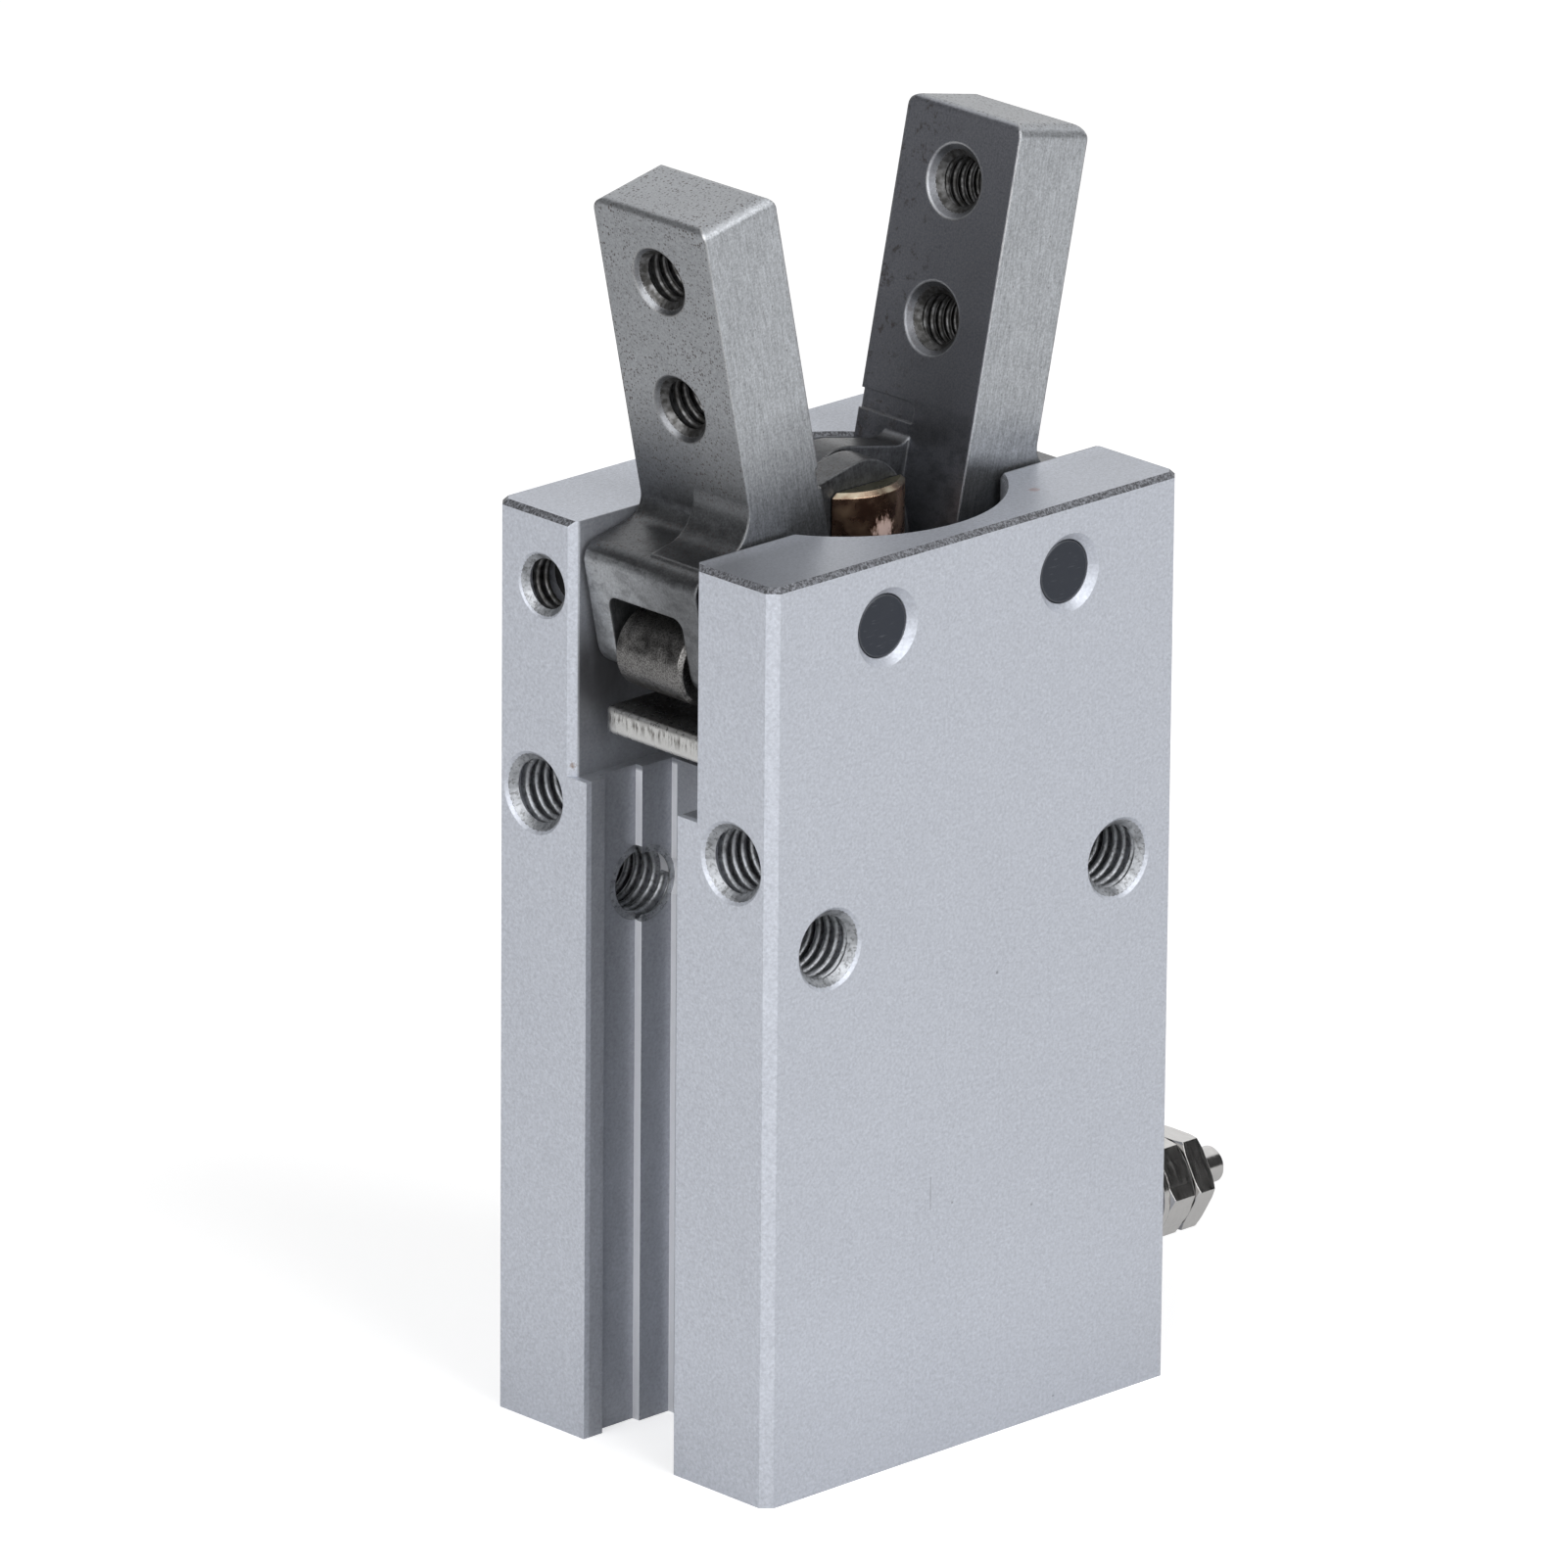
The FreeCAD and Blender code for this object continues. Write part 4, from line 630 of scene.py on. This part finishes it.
# What a jaw's hole has beyond its mount's length at each mouth.
JAW_MOUTH = 0.525
# Depths from the front or back face to the channel's two walls, with the crest that ends
# there: its foot, its top and half the arc it covers.
RECESS_WALL = 7.85
CHANNEL_WALL = 8.45
END_FOOT = 0.37
END_CREST = 0.1
OUTER_SWEEP = math.radians(81.5)
INNER_SWEEP = math.radians(98.5)


def hole_axes(inward, across=None):
    """Unit vectors: into a hole, across it, and square to both."""
    inward = Vector(inward).normalized()
    across = Vector(across or inward.orthogonal()).normalized()
    return inward, across, inward.cross(across)


def sweep(name, mouth, axes, profile, sections, body, material, closed=False, smooth=False):
    """Carries a profile of (radius, depth) through sections of (angle, depth) about a hole's
    axis, as a ring closed in itself or with a cap at each end."""
    inward, across, third = axes
    vertices, faces = [], []
    for angle, start in sections:
        spoke = across * math.cos(angle) + third * math.sin(angle)
        for radius, depth in profile:
            vertices.append(Vector(mouth) + (inward * (start + depth) + spoke * radius) * MM)
    rows, count = len(profile), len(sections)
    for step in range(count if closed else count - 1):
        first, following = step * rows, (step + 1) % count * rows
        for row in range(rows):
            beside = (row + 1) % rows
            faces.append((first + row, first + beside, following + beside, following + row))
    if not closed:
        faces.append(tuple(range(rows)))
        faces.append(tuple(reversed(range((count - 1) * rows, count * rows))))
    mesh = bpy.data.meshes.new(name)
    mesh.from_pydata([tuple(vertex) for vertex in vertices], [], faces)
    mesh.materials.append(material)
    mesh.polygons.foreach_set("use_smooth", [smooth] * len(mesh.polygons))
    mesh.update()
    piece = bpy.data.objects.new(name, mesh)
    bpy.context.scene.collection.objects.link(piece)
    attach(piece, body)


def end_ring(name, mouth, inward, across, half_sweep, size, depth, material):
    """The thread's last crest where a hole opens in a wall; across points at its middle."""
    radius, pitch = size
    crest = radius - THREAD_DEPTH * pitch
    profile = ((radius + SEAT, depth - END_FOOT), (crest, depth - END_CREST), (crest, depth),
               (radius + SEAT, depth))
    sections = [(half_sweep * (2 * step / THREAD_STEPS - 1), 0.0)
                for step in range(THREAD_STEPS + 1)]
    sweep(name, mouth, hole_axes(inward, across), profile, sections, HOUSING, material)


def mouth_cone(name, mouth, inward, size, chamfer, body, material):
    """Carries the countersink on to the thread's crests; returns where the thread starts."""
    radius, pitch = size
    crest = radius - THREAD_DEPTH * pitch
    inner_end = chamfer + radius - crest
    profile = ((radius + SEAT, chamfer - SEAT), (crest, inner_end),
               (radius + SEAT, inner_end + pitch * RUN_OUT))
    sections = [(2 * math.pi * step / THREAD_STEPS, 0.0) for step in range(THREAD_STEPS)]
    sweep(name, mouth, hole_axes(inward), profile, sections, body, material, closed=True)
    return inner_end


def thread(name, mouth, inward, size, length, chamfer, body, material, far_chamfer=None,
           cone_material=None):
    """An internal thread from the mouth's face point along inward; lengths in millimetres."""
    radius, pitch = size
    axes = hole_axes(inward)
    start = mouth_cone(name + "_cone", mouth, axes[0], size, chamfer, body,
                       cone_material or material)
    end = length
    if far_chamfer is not None:
        far_mouth = Vector(mouth) + axes[0] * length * MM
        end -= mouth_cone(name + "_far_cone", far_mouth, -axes[0], size, far_chamfer, body,
                          material)
    crest = radius - THREAD_DEPTH * pitch
    profile = ((radius + SEAT, -RIDGE_FOOT * pitch), (crest, -RIDGE_CREST * pitch),
               (crest, RIDGE_CREST * pitch), (radius + SEAT, RIDGE_FOOT * pitch))
    count = int(((end - start) / pitch - 2 * RUN_OUT) * THREAD_STEPS)
    sections = [(2 * math.pi * step / THREAD_STEPS,
                 start + pitch * (RUN_OUT + step / THREAD_STEPS)) for step in range(count + 1)]
    sweep(name, mouth, axes, profile, sections, body, material, smooth=True)


def flange_threads(side, sign, bare):
    """One side's holes through the front and back flanges, and its two side holes."""
    pattern = mounts["front_mount"]
    x = sign * pattern["dims"]["spacing_x_mm"] / 2 * MM
    for end, y, inward in (("front", block_low.y, (0, 1, 0)), ("back", block_high.y, (0, -1, 0))):
        name = "thread_%s_face_%s" % (end, side)
        mouth = (x, y, pattern["pos_m"][2])
        thread(name, mouth, inward, M5, RECESS_WALL, MOUNT_CHAMFER, HOUSING, bare)
        end_ring(name + "_outer_end", mouth, inward, (sign, 0, 0), OUTER_SWEEP, M5,
                 RECESS_WALL, bare)
        end_ring(name + "_inner_end", mouth, inward, (-sign, 0, 0), INNER_SWEEP, M5,
                 CHANNEL_WALL, bare)
        spot = Vector(mounts["%s_mount_%s" % (side, end)]["pos_m"])
        spot.x = block_high.x * sign
        thread("thread_%s_%s" % (side, end), spot, (-sign, 0, 0), M5, SIDE_THREAD,
               MOUNT_CHAMFER, HOUSING, bare)


def lock_thread(side, sign, bare, steel):
    """The lock screw's thread, from the side face to the screw."""
    screw_low, screw_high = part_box("lock_screw_" + side)
    mouth = (screw_low + screw_high) / 2
    mouth.x = block_high.x * sign
    screw_end = screw_high.x if sign > 0 else -screw_low.x
    length = (block_high.x - screw_end) / MM - LOCK_GAP
    thread("thread_lock_" + side, mouth, (-sign, 0, 0), M4, length, LOCK_CHAMFER, HOUSING, steel,
           cone_material=bare)


def jaw_threads(side, steel):
    """The two holes that go through a finger, for a jaw."""
    for level in ("upper", "lower"):
        mount = mounts["finger_%s_%s" % (side, level)]
        axis = Vector(mount["axis"])
        half = mount["dims"]["length_mm"] / 2 + JAW_MOUTH
        mouth = Vector(mount["pos_m"]) + axis * half * MM
        thread("thread_finger_%s_%s" % (side, level), mouth, -axis, M4, half * 2, JAW_CHAMFER,
               "finger_" + side, steel, JAW_INNER_CHAMFER)


def port_thread(bare):
    spot = Vector(mounts["closing_port"]["pos_m"])
    spot.x = block_high.x
    thread("thread_closing_port", spot, (-1, 0, 0), M5, PORT_THREAD, MOUNT_CHAMFER, HOUSING, bare)


def base_threads(bare):
    spacing = mounts["base_mount"]["dims"]
    for side, x in SIDES.items():
        for end, y in (("front", -1), ("back", 1)):
            spot = Vector((x * spacing["spacing_x_mm"], y * spacing["spacing_y_mm"], 0)) * MM / 2
            thread("thread_base_%s_%s" % (side, end), spot, (0, 0, 1), M4, BASE_THREAD,
                   MOUNT_CHAMFER, HOUSING, bare)


def add_threads():
    """Gives every tapped hole its thread, behind a cone at each mouth."""
    bare, steel = thread_aluminium(), thread_steel()
    for side, sign in SIDES.items():
        flange_threads(side, sign, bare)
        lock_thread(side, sign, bare, steel)
        jaw_threads(side, steel)
    port_thread(bare)
    base_threads(bare)


def white_world():
    """White to the camera and in reflections, a softer light on everything else."""
    g = Graph("surroundings", world=True)
    bpy.context.scene.world = g.owner
    rays = g.add("LightPath").outputs
    seen = g.highest(rays["Is Camera Ray"], rays["Is Glossy Ray"])
    seen = g.highest(seen, rays["Is Transmission Ray"])
    strength = g.ramp(seen, 0.0, 1.0, WORLD_LIGHT, 1.0)
    g.output(g.add("Background", {"Color": (1, 1, 1, 1), "Strength": strength}), "OutputWorld")


def hang_lamps():
    for name, (place, side, power) in LAMPS.items():
        data = bpy.data.lights.new(name, "AREA")
        data.shape = "RECTANGLE"
        data.size = data.size_y = side
        data.energy = power
        lamp = bpy.data.objects.new(name, data)
        bpy.context.scene.collection.objects.link(lamp)
        lamp.location = place
        direction = LAMP_AIM - Vector(place)
        lamp.rotation_euler = direction.to_track_quat("-Z", "Y").to_euler()


def lay_floor():
    """A floor that shows white to the camera and keeps the shadow."""
    g = Graph("floor_white")
    lit = g.add("BsdfDiffuse", {"Color": (FLOOR_TONE, FLOOR_TONE, FLOOR_TONE, 1)})
    camera_ray = g.add("LightPath").outputs["Is Camera Ray"]
    glow = g.add("Emission", {"Color": (1, 1, 1, 1), "Strength": g.times(camera_ray, FLOOR_GLOW)})
    material = g.output(g.add("AddShader", {0: lit.outputs[0], 1: glow.outputs[0]}))
    bpy.ops.mesh.primitive_plane_add(size=FLOOR_SIDE, location=(0, 0, 0))
    plane = bpy.context.object
    plane.name = "floor"
    plane.data.materials.append(material)


def hold_cards():
    g = Graph("card_black")
    material = g.output(g.add("BsdfDiffuse", {"Color": (CARD_TONE, CARD_TONE, CARD_TONE, 1)}))
    for name, (width, height, place) in CARDS.items():
        bpy.ops.mesh.primitive_plane_add(size=1, location=place)
        flag = bpy.context.object
        flag.name = name
        flag.scale = (width, height, 1)
        toward = CARD_AIM - flag.location
        flag.rotation_euler = toward.to_track_quat("Z", "Y").to_euler()
        flag.data.materials.append(material)
        flag.visible_camera = False
        flag.visible_shadow = False
        flag.visible_diffuse = False


scene = bpy.context.scene
scene.view_settings.view_transform = "Standard"
place_camera()
dress_nodes()
add_threads()
white_world()
hang_lamps()
lay_floor()
hold_cards()
